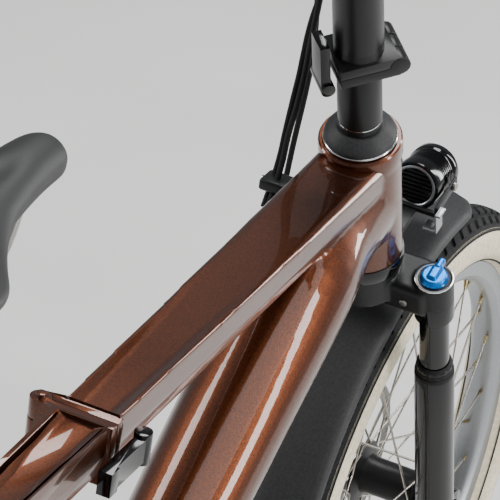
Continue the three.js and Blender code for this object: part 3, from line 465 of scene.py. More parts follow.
COPPER = copper_lacquer()
CHARCOAL = moulded("charcoal_moulded_plastic", "#262627", "#2F2F30", 0.52, 0.35, 0.03)
SATIN_BLACK = moulded("satin_black_anodised", "#0E0E0F", "#141415", 0.34, 0.2, 0.01)
FORGED_BLACK = moulded("matt_black_forged_alloy", "#08090A", "#101112", 0.4, 0.5, 0.05)
BLACK_RUBBER = moulded("black_rubber", "#0E0E0E", "#161616", 0.72, 0.4, 0.04)
TREAD_RUBBER = moulded("tread_rubber", "#151516", "#202021", 0.82, 0.5, 0.08)
CREAM_WALL = moulded("cream_tyre_wall", "#C9BDA2", "#DDD2BA", 0.7, 0.6, 0.04)
GLOSS_BLACK = gloss_black()
POLISHED = bare_metal("polished_aluminium", "#C9CBCD", "#E8E9EA", 0.1, 0.8)
SATIN_ALLOY = bare_metal("satin_rim_aluminium", "#8F9295", "#A9ACAF", 0.34, 0.6)
STAINLESS = bare_metal("stainless_spoke_steel", "#A8A299", "#CBC4B8", 0.24, 0.5)
BRASS = bare_metal("nickel_brass", "#9A875F", "#BFAE86", 0.28, 0.4)
BRUSHED = bare_metal("brushed_steel", "#7D7A76", "#A5A29D", 0.3, 0.4)
BLUE = blue_anodised()
RED_LENS = lens("red_lens", "#8E0A0A", 0.12)
CLEAR_LENS = lens("pale_lens", "#C8CCD0", 0.08)
LEATHER = saddle_leather()

# --------------------------------------------------------- welded front frame
TOP_DEPTH = 44


def top_section(x):
    """The top tube across, x mm ahead of the ring: flat on top between two creases, widest below them."""
    crease_z, crease = -18.2 + 0.039 * x, 24.6 + 0.029 * x
    widest_z, widest = -23 + 0.016 * x, 29.1 + 0.0148 * x
    bottom = crease_z - TOP_DEPTH
    right = [(crease, crease_z), (widest, widest_z), (widest * 0.96, (widest_z + bottom) / 2),
             (widest * 0.78, bottom + 0.14 * (widest_z - bottom)), (widest * 0.5, bottom)]
    return [(-y, z) for y, z in right] + [(y, z) for y, z in reversed(right)]


TUBE_END = (HINGE.x - HEAD.x) / MM + 8
LOWER_HINGE = (BRACKET.z - HEAD.z) / MM + 60
HEAD_TUBE = {"radius": 33, "top": -20, "bottom": -144.5}
# where the welds are smoothed: mm from the steering axis, and mm along it
WELD_REACH, WELD_SPREAD = 36, 11
WELD_BOTTOM, WELD_TOP, WELD_FRONT = -139, -24, 20
# the down tube's stations: ahead, up, half its width and half its depth, in mm from the headset ring
DOWN_LINE = [
    (30, -66, 33, 46), (-25, -84, 35, 45), (-80, -104, 44, 43), (-165, -161, 45, 42),
    (-260, -232, 43, 41), (-360, -300, 37, 38), (-430, LOWER_HINGE + 14, 32, 36),
    (TUBE_END, LOWER_HINGE - 2, 29, 33),
]


def front_frame():
    """The head tube, top tube and down tube as one welded skin, with what is fixed to it."""
    stations = [-4 + (TUBE_END + 4) * s / 12 for s in range(13)]
    top = skinned("top", [[from_head(x, y, z) for y, z in top_section(x)] for x in stations])
    soften(top, 1.6, 2, 20)
    line = through([Vector((x, 0, z)) for x, z, _w, _d in DOWN_LINE], 5)
    sizes = through([Vector((w, 0, d)) for _x, _z, w, d in DOWN_LINE], 5)
    rings = []
    for i, (centre, size) in enumerate(zip(line, sizes)):
        along = (line[min(i + 1, len(line) - 1)] - line[max(i - 1, 0)]).normalized()
        across = Vector((-along.z, 0, along.x))
        if across.z < 0:
            across.negate()
        ring = []
        for k in range(40):
            turn = math.tau * k / 40
            ring.append(from_head(*(centre + across * math.sin(turn) * size.z
                                    + Vector((0, math.cos(turn) * size.x, 0)))))
        rings.append(ring)
    down = skinned("down", rings)
    tube = rod("tube", steer(0, 0, HEAD_TUBE["bottom"]), steer(0, 0, HEAD_TUBE["top"]),
               HEAD_TUBE["radius"], sides=96)
    skin = welded("welded_front_frame", 1.9, top, down, tube, rounds=3)
    joint = skin.vertex_groups.new(name="weld")
    for vertex in skin.data.vertices:
        out = vertex.co - HEAD
        height, ahead = out.dot(UP), out.dot(AHEAD)
        reach = math.hypot(out.y, ahead)
        near = 1 - min(abs(reach - WELD_REACH * MM) / (WELD_SPREAD * MM), 1)
        if WELD_BOTTOM * MM < height < WELD_TOP * MM and ahead < WELD_FRONT * MM:
            joint.add([vertex.index], near, "REPLACE")
    modify(skin, "SMOOTH", factor=0.5, iterations=16, vertex_group="weld")
    skin.vertex_groups.clear()
    shade(skin, 60)
    fit(skin, "front_frame", COPPER, "copper_paint", "head_tube", "top_tube", "down_tube")

    collar = spun("upper_headset_collar", HEAD, UP, [
        (0, -26), (33.2, -26), (33.5, -22), (34, -19), (34.2, -8), (33.8, -5.2), (32.6, -4),
        (0, -4)], 96)
    fit(shade(collar), "front_frame", COPPER, "copper_paint")
    lower_race = spun("lower_headset_race", HEAD, UP, [
        (20, -144.8), (33.6, -144.8), (34.2, -142), (34.2, -133), (33.6, -131.5), (20, -131.5)], 96)
    fit(shade(lower_race), "front_frame", GLOSS_BLACK, "black_gloss_metal")

    for node, name in (("top_tube", "upper_front_hinge_leaf"), ("down_tube", "lower_front_hinge_leaf")):
        leaf = kept(copied(name, node), (HINGE.x + 0.0088, 0, 0), (1, 0, 0))
        fit(shade(soften(leaf, 0.8, 2)), "front_frame", COPPER, "copper_paint")

    clip = slab("clip", from_head(-35, 49.5, -49), (22, 25, 10), edge=2.5)
    foot = slab("foot", from_head(-35, 40, -60), (16, 9, 30), edge=2)
    holder = merged("hose_clip", clip, foot)
    fit(shade(holder), "front_frame", SATIN_BLACK, "black_alloy")
    screw = rod("clip_screw", from_head(-35, 61, -49), from_head(-35, 64, -49), 3.2, 2.8, 24)
    fit(shade(soften(screw, 0.5)), "front_frame", POLISHED, "steel")


# ---------------------------------------------------------- headset and post
def headset():
    cover = spun("headset_top_cover", HEAD, UP, [
        (14.8, 11.2), (18.4, 11.2), (19.6, 10.9), (20.8, 10.1), (26.4, 5.0), (28.2, 3.0), (29.2, 1.2),
        (29.5, -0.3), (29.2, -0.9), (14.8, -0.9)], 96)
    fit(shade(cover, 50), "front_frame", CHARCOAL, "charcoal_plastic", "headset_cover")
    ring = spun("polished_headset_ring", HEAD, UP, [
        (24, -1.0), (29.6, -1.0), (30.1, -1.3), (30.3, -2.0), (30.1, -2.8), (29.6, -3.2), (24, -3.2)], 96)
    fit(shade(ring, 60), "front_frame", POLISHED, "steel")

    spacer = spun("post_spacer", HEAD, UP, [
        (14.8, 11.5), (17.6, 11.5), (18.1, 12.0), (18.1, 17.3), (17.6, 17.8), (14.8, 17.8)], 96)
    fit(shade(spacer), "fork_upper", SATIN_BLACK, "black_alloy")
    groove = spun("post_groove_ring", HEAD, UP, [
        (14.8, 17.9), (17.9, 17.9), (17.9, 18.7), (14.8, 18.7)], 96)
    fit(shade(groove), "fork_upper", POLISHED, "steel")
    sleeve = spun("post_base_sleeve", HEAD, UP, [
        (14.8, 18.8), (17.6, 18.8), (18.0, 19.3), (18.0, 79), (17.6, 80), (14.8, 80)], 96)
    fit(shade(sleeve), "fork_upper", SATIN_BLACK, "black_alloy")
    base = shade(soften(copied("handlepost_base_hinge", "handlepost_base"), 0.7, 2))
    fit(base, "fork_upper", SATIN_BLACK, "black_alloy", "handlepost_base")


# ----------------------------------------------------------------- fork crown
# the legs' place ahead and to the side of the steering axis, and the height of their caps, in mm
LEG_X, LEG_Y = 8.3, 61
CAP = -152.7


def fork_crown():
    axes = (AHEAD, LEFT, UP)
    arms = slab("arms", steer(9.5, 0, -170), (41, 2 * LEG_Y, 30), axes, 5, 3)
    boss = rod("boss", steer(0, 0, -176), steer(0, 0, -145.8), 31, 30.5, 72)
    parts = [arms, boss]
    for side in (-1, 1):
        low, high = steer(LEG_X, side * LEG_Y, -186), steer(LEG_X, side * LEG_Y, CAP)
        parts.append(rod("eye", low, high, 16.4, sides=64))
    crown = welded("forged_fork_crown", 1.3, *parts, rounds=5)
    fit(shade(crown, 60), "fork_upper", FORGED_BLACK, "black_alloy", "fork_crown")

    for side, name in SIDES:
        top = steer(LEG_X, side * LEG_Y, 0)
        rim = spun(f"leg_cap_ring_{name}", top, UP, [
            (14.8, CAP - 1.5), (16.1, CAP - 1.5), (16.3, CAP - 0.4), (16.1, CAP + 0.2), (15.6, CAP + 0.3),
            (15.2, CAP - 0.4)], 72)
        fit(shade(rim, 50), "fork_upper", POLISHED, "steel")
        well = spun(f"leg_cap_well_{name}", top, UP, [
            (0, CAP - 0.6), (12.6, CAP - 0.6), (14.0, CAP + 0.2), (15.3, CAP + 0.1), (15.3, CAP - 3),
            (0, CAP - 3)], 72)
        fit(shade(well), "fork_upper", GLOSS_BLACK, "black_gloss_metal")
        clamp = spun(f"leg_clamp_{name}", top, UP, [
            (12.7, -176), (16.2, -176), (16.6, -178), (16.6, -195.6), (15.6, -197), (12.7, -197)], 72)
        fit(shade(clamp), "fork_upper", GLOSS_BLACK, "black_gloss_metal")
        tube = spun(f"fork_stanchion_{name}", top, UP, [
            (10.4, -160), (12.6, -160), (12.6, -400), (10.4, -400)], 72)
        fit(shade(tube), "fork_upper", GLOSS_BLACK, "black_gloss_metal", f"stanchion_{name}")
        bolt_y = side * (LEG_Y - 19)
        bolt = rod(f"clamp_bolt_{name}", steer(-12.5, bolt_y, -172), steer(-9, bolt_y, -172), 3.4, sides=24)
        fit(shade(soften(bolt, 0.6)), "fork_upper", BRUSHED, "steel")
    damper = spun("left_preload_cap", steer(LEG_X, LEG_Y, 0), UP, [
        (0, CAP + 3.2), (8.6, CAP + 3.2), (9.4, CAP + 2.4), (9.8, CAP - 1.4), (0, CAP - 1.4)], 72)
    fit(shade(damper), "fork_upper", SATIN_BLACK, "black_alloy")

    dial = spun("lockout_dial", steer(LEG_X, -LEG_Y, 0), UP, [
        (0, CAP + 5.0), (9.4, CAP + 5.0), (10.6, CAP + 4.4), (11.4, CAP + 1.2), (12.0, CAP + 0.4),
        (12.0, CAP - 0.6), (0, CAP - 0.6)], 72)
    ridge = slab("ridge", steer(LEG_X + 2, -LEG_Y, CAP + 5.4), (17, 8, 4.4), axes, 1.7, 3)
    pointer = slab("pointer", steer(LEG_X + 11.5, -LEG_Y, CAP + 5.2), (12, 5.6, 6), axes, 1.9, 3)
    lever = welded("lockout_dial_and_pointer", 0.45, dial, ridge, pointer, rounds=3)
    fit(shade(lever, 60), "lockout", BLUE, "blue_anodised", "lockout_lever")


# ---------------------------------------------------------------- fork lowers
def fork_lowers():
    for side, name in SIDES:
        top = steer(LEG_X, side * LEG_Y, 0)
        wiper = spun(f"leg_wiper_{name}", top, UP, [
            (12.9, -254), (14.2, -254.4), (15.2, -256), (15.4, -258), (14.5, -258.8), (14.5, -259.6),
            (16.0, -260.6), (16.3, -262.2), (15.2, -263.2), (15.2, -264), (16.8, -265), (16.9, -268),
            (12.9, -268)], 72)
        fit(shade(wiper, 45), "fork_lowers", BLACK_RUBBER, "black_rubber")
        leg = spun(f"fork_leg_{name}", top, UP, [
            (13.3, -268), (16.6, -268), (17.0, -270), (17.0, -330), (16.7, -440), (16.7, -496),
            (14.5, -501), (0, -501), (0, -441), (13.3, -441)], 72)
        fit(shade(leg), "fork_lowers", GLOSS_BLACK, "black_gloss_metal")
        ends = shade(soften(copied(f"fork_end_{name}", f"fork_lower_{name}"), 0.9, 2))
        fit(ends, "fork_lowers", GLOSS_BLACK, "black_gloss_metal", f"fork_lower_{name}")


# ------------------------------------------------------------------ headlight
LIGHT = joint_at("headlight_tilt")


def headlight():
    ahead = Vector((1, 0, 0))
    outline = [(0, -20.6), (16.4, -20.6), (17.4, -21.4), (20.2, -21.8), (21.4, -21.2), (21.8, -19.8),
               (21.8, -8.4), (21.2, -7.6)]
    for fin in range(6):
        x = -6.4 + 3.1 * fin
        outline += [(19.4, x - 0.5), (19.4, x + 0.5), (20.8, x + 0.9), (20.8, x + 2.1)]
    outline += [(21.4, 12.8), (21.8, 13.6), (21.8, 20.4), (21, 21.8), (18.8, 21.8), (17.4, 17),
                (0, 17)]
    body = spun("headlight_finned_body", LIGHT, ahead, outline, 96)
    fit(shade(body, 30), "light", GLOSS_BLACK, "black_plastic", "headlight")
    bezel = spun("headlight_rear_bezel", LIGHT, ahead, [
        (16.2, -21.4), (17.0, -22.0), (18.2, -22.0), (18.8, -21.6), (18.8, -21), (16.2, -21)], 96)
    fit(shade(bezel), "light", SATIN_ALLOY, "steel")
    ribs = []
    for k in range(8):
        z = -13.3 + 3.8 * k
        width = 2 * math.sqrt(16.2 ** 2 - z ** 2)
        ribs.append(slab("rib", LIGHT + Vector((-21, 0, z)) * MM, (1.6, width, 1.9), edge=0.5, segments=2))
    fit(shade(merged("headlight_rear_ribs", *ribs)), "light", FORGED_BLACK, "black_plastic")
    glass = spun("headlight_glass", LIGHT, ahead, [
        (0, 21.4), (9, 20.9), (15, 19.4), (18, 18), (18, 17.2), (0, 17.2)], 96)
    fit(shade(glass, 60), "light", CLEAR_LENS, "black_plastic")

    axes = (AHEAD, LEFT, UP)
    plate = slab("plate", steer(57, 0, -172.6), (64, 16, 4.2), axes, 1.2)
    post = slab("post", steer(88, 0, -171), (4, 50, 5), axes, 1.0)
    arms = [slab("ear", steer(106.5, side * 25.3, -166), (41, 2.6, 10), axes, 1.0) for side in (-1, 1)]
    bracket = merged("headlight_bracket", plate, post, *arms)
    fit(shade(bracket), "fork_upper", FORGED_BLACK, "black_alloy")
    for x in (40, 60):
        bolt = rod(f"bracket_bolt_{x}", steer(x, 0, -171), steer(x, 0, -167), 4.4, 4.0, 32)
        socket = rod("socket", steer(x, 0, -168.6), steer(x, 0, -160), 2.3, sides=6)
        drilled(bolt, socket)
        fit(shade(soften(bolt, 0.5, 2)), "fork_upper", BRUSHED, "steel")
    tab = merged("bracket_clip", slab("leaf", steer(84, -29, -172), (12, 2, 22), axes, 0.8),
                 slab("foot", steer(84, -23, -182), (12, 13, 2), axes, 0.8),
                 slab("lip", steer(84, -31, -162), (12, 5, 2), axes, 0.8))
    fit(shade(tab), "fork_upper", SATIN_ALLOY, "steel")
    for side, hand in reversed(SIDES):
        inner, outer = steer(119, side * 26.6, -165), steer(119, side * 29.4, -165)
        pivot = rod(f"light_pivot_bolt_{hand}", inner, outer, 4, 3.6, 24)
        fit(shade(soften(pivot, 0.5)), "fork_upper", BRUSHED, "steel")


# --------------------------------------------------------------------- wheels
WHEEL = 257
# the tread falls away by TREAD_DROP at TREAD_HALF to the side, ever more steeply
TREAD_HALF, TREAD_DROP, TREAD_CURVE = 23.4, 10.4, 2.2
PITCHES = 88
# each row of tread blocks: mm to the side, width and length in mm, and lag in pitches
TREAD_ROWS = ((-17.5, 8, 11, 0.5), (-7.2, 8, 13.5, 0), (0, 2.6, 17, 0.5), (7.2, 8, 13.5, 0),
              (17.5, 8, 11, 0.5))
SPOKES = 36
RIM_STEPS = 144
# half the hub's width, its shell and flange radii, and how far to the left its disc is, in mm
FRONT_HUB = {"half": 38, "shell": 17, "flange": 29, "disc": 41}
REAR_HUB = {"half": 38, "shell": 38, "flange": 43, "disc": 49}


def around(axle, radius, turn, y):
    """A place on a wheel, by its radius in mm, its turn from straight ahead, and mm to the left."""
    return axle + Vector((radius * math.cos(turn), y, radius * math.sin(turn))) * MM


def tread_radius(y, sunk):
    return WHEEL - sunk - TREAD_DROP * (abs(y) / TREAD_HALF) ** TREAD_CURVE


def tread_blocks(name, axle):
    """Rows of slanted blocks that follow the tyre's crown."""
    pieces = bmesh.new()
    for k in range(PITCHES):
        base = math.tau * k / PITCHES
        for y, width, length, lag in TREAD_ROWS:
            turn = base + lag * math.tau / PITCHES
            fall = TREAD_DROP * TREAD_CURVE * (abs(y) / TREAD_HALF) ** (TREAD_CURVE - 1)
            slope = math.atan2(fall, TREAD_HALF) * (1 if y > 0 else -1)
            radial = Vector((math.cos(turn), 0, math.sin(turn)))
            tangent = Vector((-math.sin(turn), 0, math.cos(turn)))
            out = radial * math.cos(slope) + LEFT * math.sin(slope)
            side = LEFT * math.cos(slope) - radial * math.sin(slope)
            centre = around(axle, tread_radius(y, 1.6), turn, y)
            skew = 0.35 * ((y > 0) - (y < 0))
            corners = []
            for height, shrink in ((-1.0, 1.0), (1.4, 0.82)):
                for a, b in ((-1, -1), (1, -1), (1, 1), (-1, 1)):
                    place = centre + out * height * MM
                    place += side * (a * width / 2 * shrink) * MM
                    place += tangent * ((b * length / 2 * shrink) + skew * a * width) * MM
                    corners.append(pieces.verts.new(place))
            low, high = corners[:4], corners[4:]
            pieces.faces.new(high)
            pieces.faces.new(list(reversed(low)))
            for i in range(4):
                j = (i + 1) % 4
                pieces.faces.new((low[i], low[j], high[j], high[i]))
    return from_faces(name, pieces)


def wheel(name, axle, hub, body):
    """A tyre with cream walls on a rim, with spokes, a hub and a brake disc."""
    across = (-23.6, -20, -15, -10, -5, 0, 5, 10, 15, 20, 23.6)
    crown = [(tread_radius(y, 2.6), y) for y in across]
    under = [(r - 3, y * 0.94) for r, y in reversed(crown)]
    tread = spun(f"{name}_tread", axle, LEFT, crown + under, RIM_STEPS)
    fit(shade(tread, 50), body, TREAD_RUBBER, "tyre", f"{name}_tyre")
    fit(shade(tread_blocks(f"{name}_tread_blocks", axle), 20), body, TREAD_RUBBER, "tyre")
    for side, hand in SIDES:
        wall = spun(f"{name}_tyre_wall_{hand}", axle, LEFT * side, [
            (244.4, 23.0), (241.5, 24.9), (238, 26.2), (233, 27.1), (227, 27.3), (221, 26.2), (216, 23.2),
            (212.6, 18.4), (211.2, 14.4), (204, 12.6), (204, 10), (213, 14), (226, 23.5),
            (242, 21)], RIM_STEPS)
        fit(shade(wall, 60), body, CREAM_WALL, "tyre")
        for line, (radius, y) in enumerate(((242.6, 24.4), (214.8, 21.6))):
            bead = spun(f"{name}_wall_line_{hand}_{line}", axle, LEFT * side, [
                (radius + 1.1, y - 0.6), (radius + 0.5, y + 0.55), (radius - 0.6, y + 0.7),
                (radius - 1.2, y - 0.2)], RIM_STEPS)
            fit(shade(bead, 60), body, BLACK_RUBBER, "tyre")

    half = [(191, 8), (192.6, 11), (197, 14.4), (203, 15.2), (210.4, 15.5), (211.4, 14.9), (211.2, 13.6),
            (208.6, 12.9), (203, 12.9)]
    rim = spun(f"{name}_rim_extrusion", axle, LEFT,
               half + [(r, -y) for r, y in reversed(half)], RIM_STEPS)
    fit(shade(rim, 30), body, SATIN_ALLOY, "rim_alloy", f"{name}_rim")

    spokes, nipples = [], []
    for i in range(SPOKES):
        side = 1 if i % 2 else -1
        rim_turn = math.tau * i / SPOKES
        hub_turn = rim_turn + side * math.radians(62) * (1 if (i // 2) % 2 else -1)
        start = around(axle, hub["flange"] - 3, hub_turn, side * 29)
        end = around(axle, 193, rim_turn, side * 3)
        spokes.append(rod("spoke", start, end, 1.05, sides=10))
        along = (end - start).normalized()
        nipples.append(rod("nipple", end - along * 0.010, end + along * 0.001, 1.5, 2.1, sides=10))
    fit(shade(merged(f"{name}_spokes", *spokes), 60), body, STAINLESS, "steel",
        f"{name}_hub_and_spokes")
    fit(shade(merged(f"{name}_nipples", *nipples), 60), body, BRASS, "steel")

    shell, flange, width = hub["shell"], hub["flange"], hub["half"]
    half = [(6.5, width), (shell * 0.62, width), (shell * 0.7, width - 4), (flange - 1, 31.2), (flange, 30.4),
            (flange, 27.6), (flange - 1.2, 27), (shell + 1.5, 24), (shell, 18)]
    barrel = spun(f"{name}_hub_shell", axle, LEFT, half + [(r, -y) for r, y in reversed(half)])
    fit(shade(barrel), body, SATIN_BLACK, "steel")

    disc_y = hub["disc"]
    rotor = spun("rotor", axle + LEFT * disc_y * MM, LEFT, [
        (68, -0.9), (80, -0.9), (80, 0.9), (68, 0.9)], 120)
    for k in range(30):
        turn = math.tau * k / 30
        at = around(axle, 71.5 if k % 2 else 76.2, turn, disc_y)
        drilled(rotor, rod("hole", at - LEFT * 0.003, at + LEFT * 0.003, 2.3, sides=12))
    parts = [rotor]
    for k in range(6):
        turn = math.tau * k / 6
        inner = around(axle, 20, turn, disc_y)
        outer = around(axle, 70, turn + 0.5, disc_y)
        along = (outer - inner).normalized()
        parts.append(slab("arm", (inner + outer) / 2, ((outer - inner).length / MM, 5, 1.6),
                          (along, along.cross(LEFT), LEFT), 0.4, 2))
    parts.append(spun("carrier", axle, LEFT, [
        (15, width - 0.5), (24, width - 0.5), (24, disc_y + 1), (15, disc_y + 1)], 48))
    fit(shade(merged(f"{name}_brake_rotor", *parts), 30), body, BRUSHED, "steel")


GUARD_RADIUS = 284
TONGUE = 5.5  # degrees over which a guard narrows to its tip


def mudguard(name, node, axle, start, end, body):
    """A curved guard with rolled lips between two angles, narrowed to a round tongue at each end."""
    outer = [(0, 285.9), (8, 285.8), (15, 285.5), (20.5, 284.7), (24.6, 283.4), (27.2, 281.2),
             (28.3, 278.6), (28.5, 276.6), (27.9, 275.8), (27.1, 276.2)]
    inner = [(26.6, 278.4), (25.2, 280.6), (22.8, 282), (19, 283.1), (14, 283.8), (7, 284), (0, 284.1)]
    half = outer + inner
    section = [(-y, r) for y, r in reversed(outer[1:])] + half[:-1]
    section += [(0, 284.1)] + [(-y, r) for y, r in reversed(inner[:-1])]
    steps = 90
    rings = []
    for s in range(steps + 1):
        turn = math.radians(start + (end - start) * s / steps)
        away = min(s, steps - s) * abs(end - start) / steps
        narrow = math.sqrt(1 - (1 - min(away / TONGUE, 1)) ** 2) * 0.96 + 0.04
        rings.append([around(axle, GUARD_RADIUS + (r - GUARD_RADIUS) * narrow, turn, y * narrow)
                      for y, r in section])
    guard = skinned(name, rings)
    fit(shade(guard, 40), body, CHARCOAL, "charcoal_plastic", node)


# each stay from the guard to the axle: radius in mm, degrees round the wheel, and mm to the side
FRONT_STAY = [(281, 206, 28), (262, 206, 41), (120, 204, 55), (28, 180, 56)]
REAR_STAY = [(281, 150, 28), (262, 150, 44), (120, 146, 68), (22, 110, 73)]
STAY_RADIUS = 1.7


def guard_stays():
    for side, hand in SIDES:
        for end, axle, route, body in (("front", FRONT_AXLE, FRONT_STAY, "fork_lowers"),
                                       ("rear", REAR_AXLE, REAR_STAY, "rear_frame")):
            line = [around(axle, radius, math.radians(turn), side * y) for radius, turn, y in route]
            stay = swept(f"{end}_guard_stay_{hand}", through(line, 10), STAY_RADIUS)
            fit(shade(stay, 60), body, SATIN_BLACK, "black_alloy")


# ---------------------------------------------------------------------- hoses
# each hose's way from the bars down, in mm from the headset ring
HOSES = {
    "rear_brake_hose": [
        (-87, -84, 311), (-60, -50, 316), (-22, -4, 292), (2, 34, 220), (2, 50, 120), (-10, 51, 30),
        (-26, 50, -6), (-31, 50, -31), (-39, 50, -50), (-52, 49, -66)],
    "gear_cable": [
        (-96, -146, 296), (-50, -118, 250), (-10, -40, 215), (12, 26, 170), (8, 55, 96), (-6, 57, 30),
        (-18, 56, -6), (-23, 56, -31), (-31, 56, -50), (-45, 55, -68)],
    "front_brake_hose": [
        (-87, 84, 311), (-50, 66, 306), (-8, 60, 240), (30, 68, 120), (56, 72, 20), (66, 82, -80),
        (70, 88, -180), (88, 88, -270), (98, 80, -340), (112, 60, -400), (130, 38, -440)],
}
HOSE_RADIUS = 2.5
# the heights above the headset ring, in metres, at which one length ends and the next begins
CUTS = (0.175, 0.06)
BARS_DONE = 20  # steps along a hose before which no cut is looked for


def hoses():
    """Each hose is in three lengths, because it crosses three joints."""
    for node, route in HOSES.items():
        line = through([from_head(*place) for place in route], 10)
        last = "fork_lowers" if node == "front_brake_hose" else "front_frame"
        first, second = (next(i for i, place in enumerate(line)
                              if i > BARS_DONE and place.z - HEAD.z < cut) for cut in CUTS)
        spans = ((0, first, "handlebar_set", "handlepost"), (first, second, "handlepost", "fork_upper"),
                 (second, len(line) - 1, "fork_upper", last))
        for k, (a, b, upper, lower) in enumerate(spans):
            piece = swept(f"{node}_length_{k}", line[a:b + 1], HOSE_RADIUS, 5)
            piece.data.materials.clear()
            piece.data.materials.append(BLACK_RUBBER)
            shade(piece, 60)
            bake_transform(piece)
            if k == 0:
                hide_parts(node)


# ------------------------------------------------------ bars, seat and drive
BAR_HEIGHT, BAR_HALF, BAR_RADIUS = 330, 295, 11.1
BAR_STRAIGHT, BAR_SWEEP = 60, 14


def bar_place(y):
    """The middle of the handlebar, which is straight near the post and sweeps back to its ends."""
    bent = max(abs(y) - BAR_STRAIGHT, 0) / (BAR_HALF - BAR_STRAIGHT)
    return steer(-BAR_SWEEP * bent ** 1.2, y, BAR_HEIGHT)


def cockpit():
    line = [bar_place(-BAR_HALF + 2 * BAR_HALF * i / 60) for i in range(61)]
    tube = shade(swept("handlebar_tube", line, BAR_RADIUS, 10), 60)
    fit(tube, "handlebar_set", SATIN_BLACK, "black_alloy", "handlebar")
    for side, hand in SIDES:
        inner, outer = bar_place(side * 168), bar_place(side * 294)
        along = (outer - inner).normalized()
        outline = [(11.4, 0), (16.8, 0), (17.6, 1.5), (17.6, 6), (16.4, 7.5)]
        for k in range(17):
            z = 10 + 6.2 * k
            outline += [(16.4, z), (15.7, z + 0.8), (15.7, z + 1.8), (16.4, z + 2.6)]
        outline += [(16.6, 120), (17.2, 123), (16.4, 125.4), (0, 125.6), (0, 122), (11.4, 122)]
        grip = spun(f"bar_grip_{hand}", inner, along, outline, 48)
        fit(shade(grip, 40), "handlebar_set", BLACK_RUBBER, "black_rubber", f"grip_{hand}")
        for node, body, look, slot in (
                (f"brake_bracket_{hand}", "handlebar_set", SATIN_BLACK, "black_alloy"),
                (f"brake_lever_{hand}", "brake_lever_l" if side > 0 else "brake_lever_r", GLOSS_BLACK,
                 "black_gloss_metal")):
            piece = shade(soften(copied(f"{node}_finished", node), 0.8, 2), 40)
            fit(piece, body, look, slot, node)
    post = spun("handlepost_inner_tube", HEAD, UP, [
        (13.5, 131), (16.05, 131), (16.05, 316), (13.5, 316)])
    fit(shade(post), "handlebar_set", SATIN_BLACK, "black_alloy")
    outer_post = spun("handlepost_outer_tube", HEAD, UP, [
        (16.4, 104), (20.2, 104), (20.2, 232.5), (16.4, 232.5)])
    fit(shade(outer_post), "handlepost", SATIN_BLACK, "black_alloy")


# CAD nodes whose shape is kept and whose edges are rounded, with the width in mm
REFINED = [
    ("twist_shifter", "shifter", SATIN_BLACK, "black_plastic", 1.2),
    ("handlepost_inner", "handlebar_set", SATIN_BLACK, "black_alloy", 0.8),
    ("handlepost_outer", "handlepost", SATIN_BLACK, "black_alloy", 0.8),
    ("handlepost_clamp_lever", "post_clamp_lever", GLOSS_BLACK, "black_gloss_metal", 1.2),
    ("handlepost_latch", "post_latch", GLOSS_BLACK, "black_gloss_metal", 1.2),
    ("frame_latch", "frame_latch_lever", GLOSS_BLACK, "black_gloss_metal", 1.4),
    ("seat_clamp_lever", "seat_lever", GLOSS_BLACK, "black_gloss_metal", 1.4),
    ("seat_tube", "rear_frame", COPPER, "copper_paint", 0.9),
    ("bottom_bracket_shell", "rear_frame", COPPER, "copper_paint", 0.9),
    ("chainstay_left", "rear_frame", COPPER, "copper_paint", 1.0),
    ("chainstay_right", "rear_frame", COPPER, "copper_paint", 1.0),
    ("seatstay_left", "rear_frame", COPPER, "copper_paint", 0.6),
    ("seatstay_right", "rear_frame", COPPER, "copper_paint", 0.6),
    ("crank_arm_left", "cranks", GLOSS_BLACK, "black_gloss_metal", 2.2),
    ("crank_arm_right", "cranks", GLOSS_BLACK, "black_gloss_metal", 2.2),
    ("chainring", "cranks", FORGED_BLACK, "black_alloy", 0.8),
    ("rear_sprocket", "sprocket", BRUSHED, "steel", 0.6),
    ("pedal_axle_left", "pedal_axle_l", BRUSHED, "steel", 0.5),
    ("pedal_axle_right", "pedal_axle_r", BRUSHED, "steel", 0.5),
    ("pedal_left", "pedal_l", FORGED_BLACK, "black_alloy", 1.0),
    ("pedal_right", "pedal_r", FORGED_BLACK, "black_alloy", 1.0),
    ("centre_stand", "stand", FORGED_BLACK, "black_alloy", 1.2),
    ("seatpost", "seatpost_and_saddle", SATIN_BLACK, "black_alloy", 0.8),
    ("front_brake_caliper", "fork_lowers", FORGED_BLACK, "black_alloy", 2.0),
    ("rear_brake_caliper", "rear_frame", FORGED_BLACK, "black_alloy", 2.0),
    ("rear_light", "rear_frame", RED_LENS, "red_lens", 3.0),
    ("drive_belt", "rear_frame", BLACK_RUBBER, "black_rubber", 0.6),
]


def refined_parts():
    for node, body, look, slot, edge in REFINED:
        piece = shade(soften(copied(f"{node}_finished", node), edge, 2), 40)
        fit(piece, body, look, slot, node)
    for node in ("headset_bearings", "bottom_bracket_bearings"):
        materials = frame["nodes"][node].data.materials
        materials.clear()
        materials.append(BRUSHED)
    tube = rod("seat_tube_sleeve", on_seat(0, 0, 32), on_seat(0, 0, 444), 21.3, sides=72)
    fit(shade(tube), "rear_frame", COPPER, "copper_paint")
    post = rod("seatpost_sleeve", on_seat(0, 0, 300), on_seat(0, 0, 626), 17.1, sides=72)
    fit(shade(post), "seatpost_and_saddle", SATIN_BLACK, "black_alloy")


# the saddle's stations: ahead, half its width and its height, in mm from the top of the seatpost
SADDLE = [(-128, 40, 62), (-122, 66, 67), (-95, 80, 68), (-60, 78, 65), (-20, 55, 62), (30, 32, 61),
          (90, 23, 61), (130, 19, 58), (138, 10, 53)]
POST_LENGTH = 636
COVER_DEPTH = 14


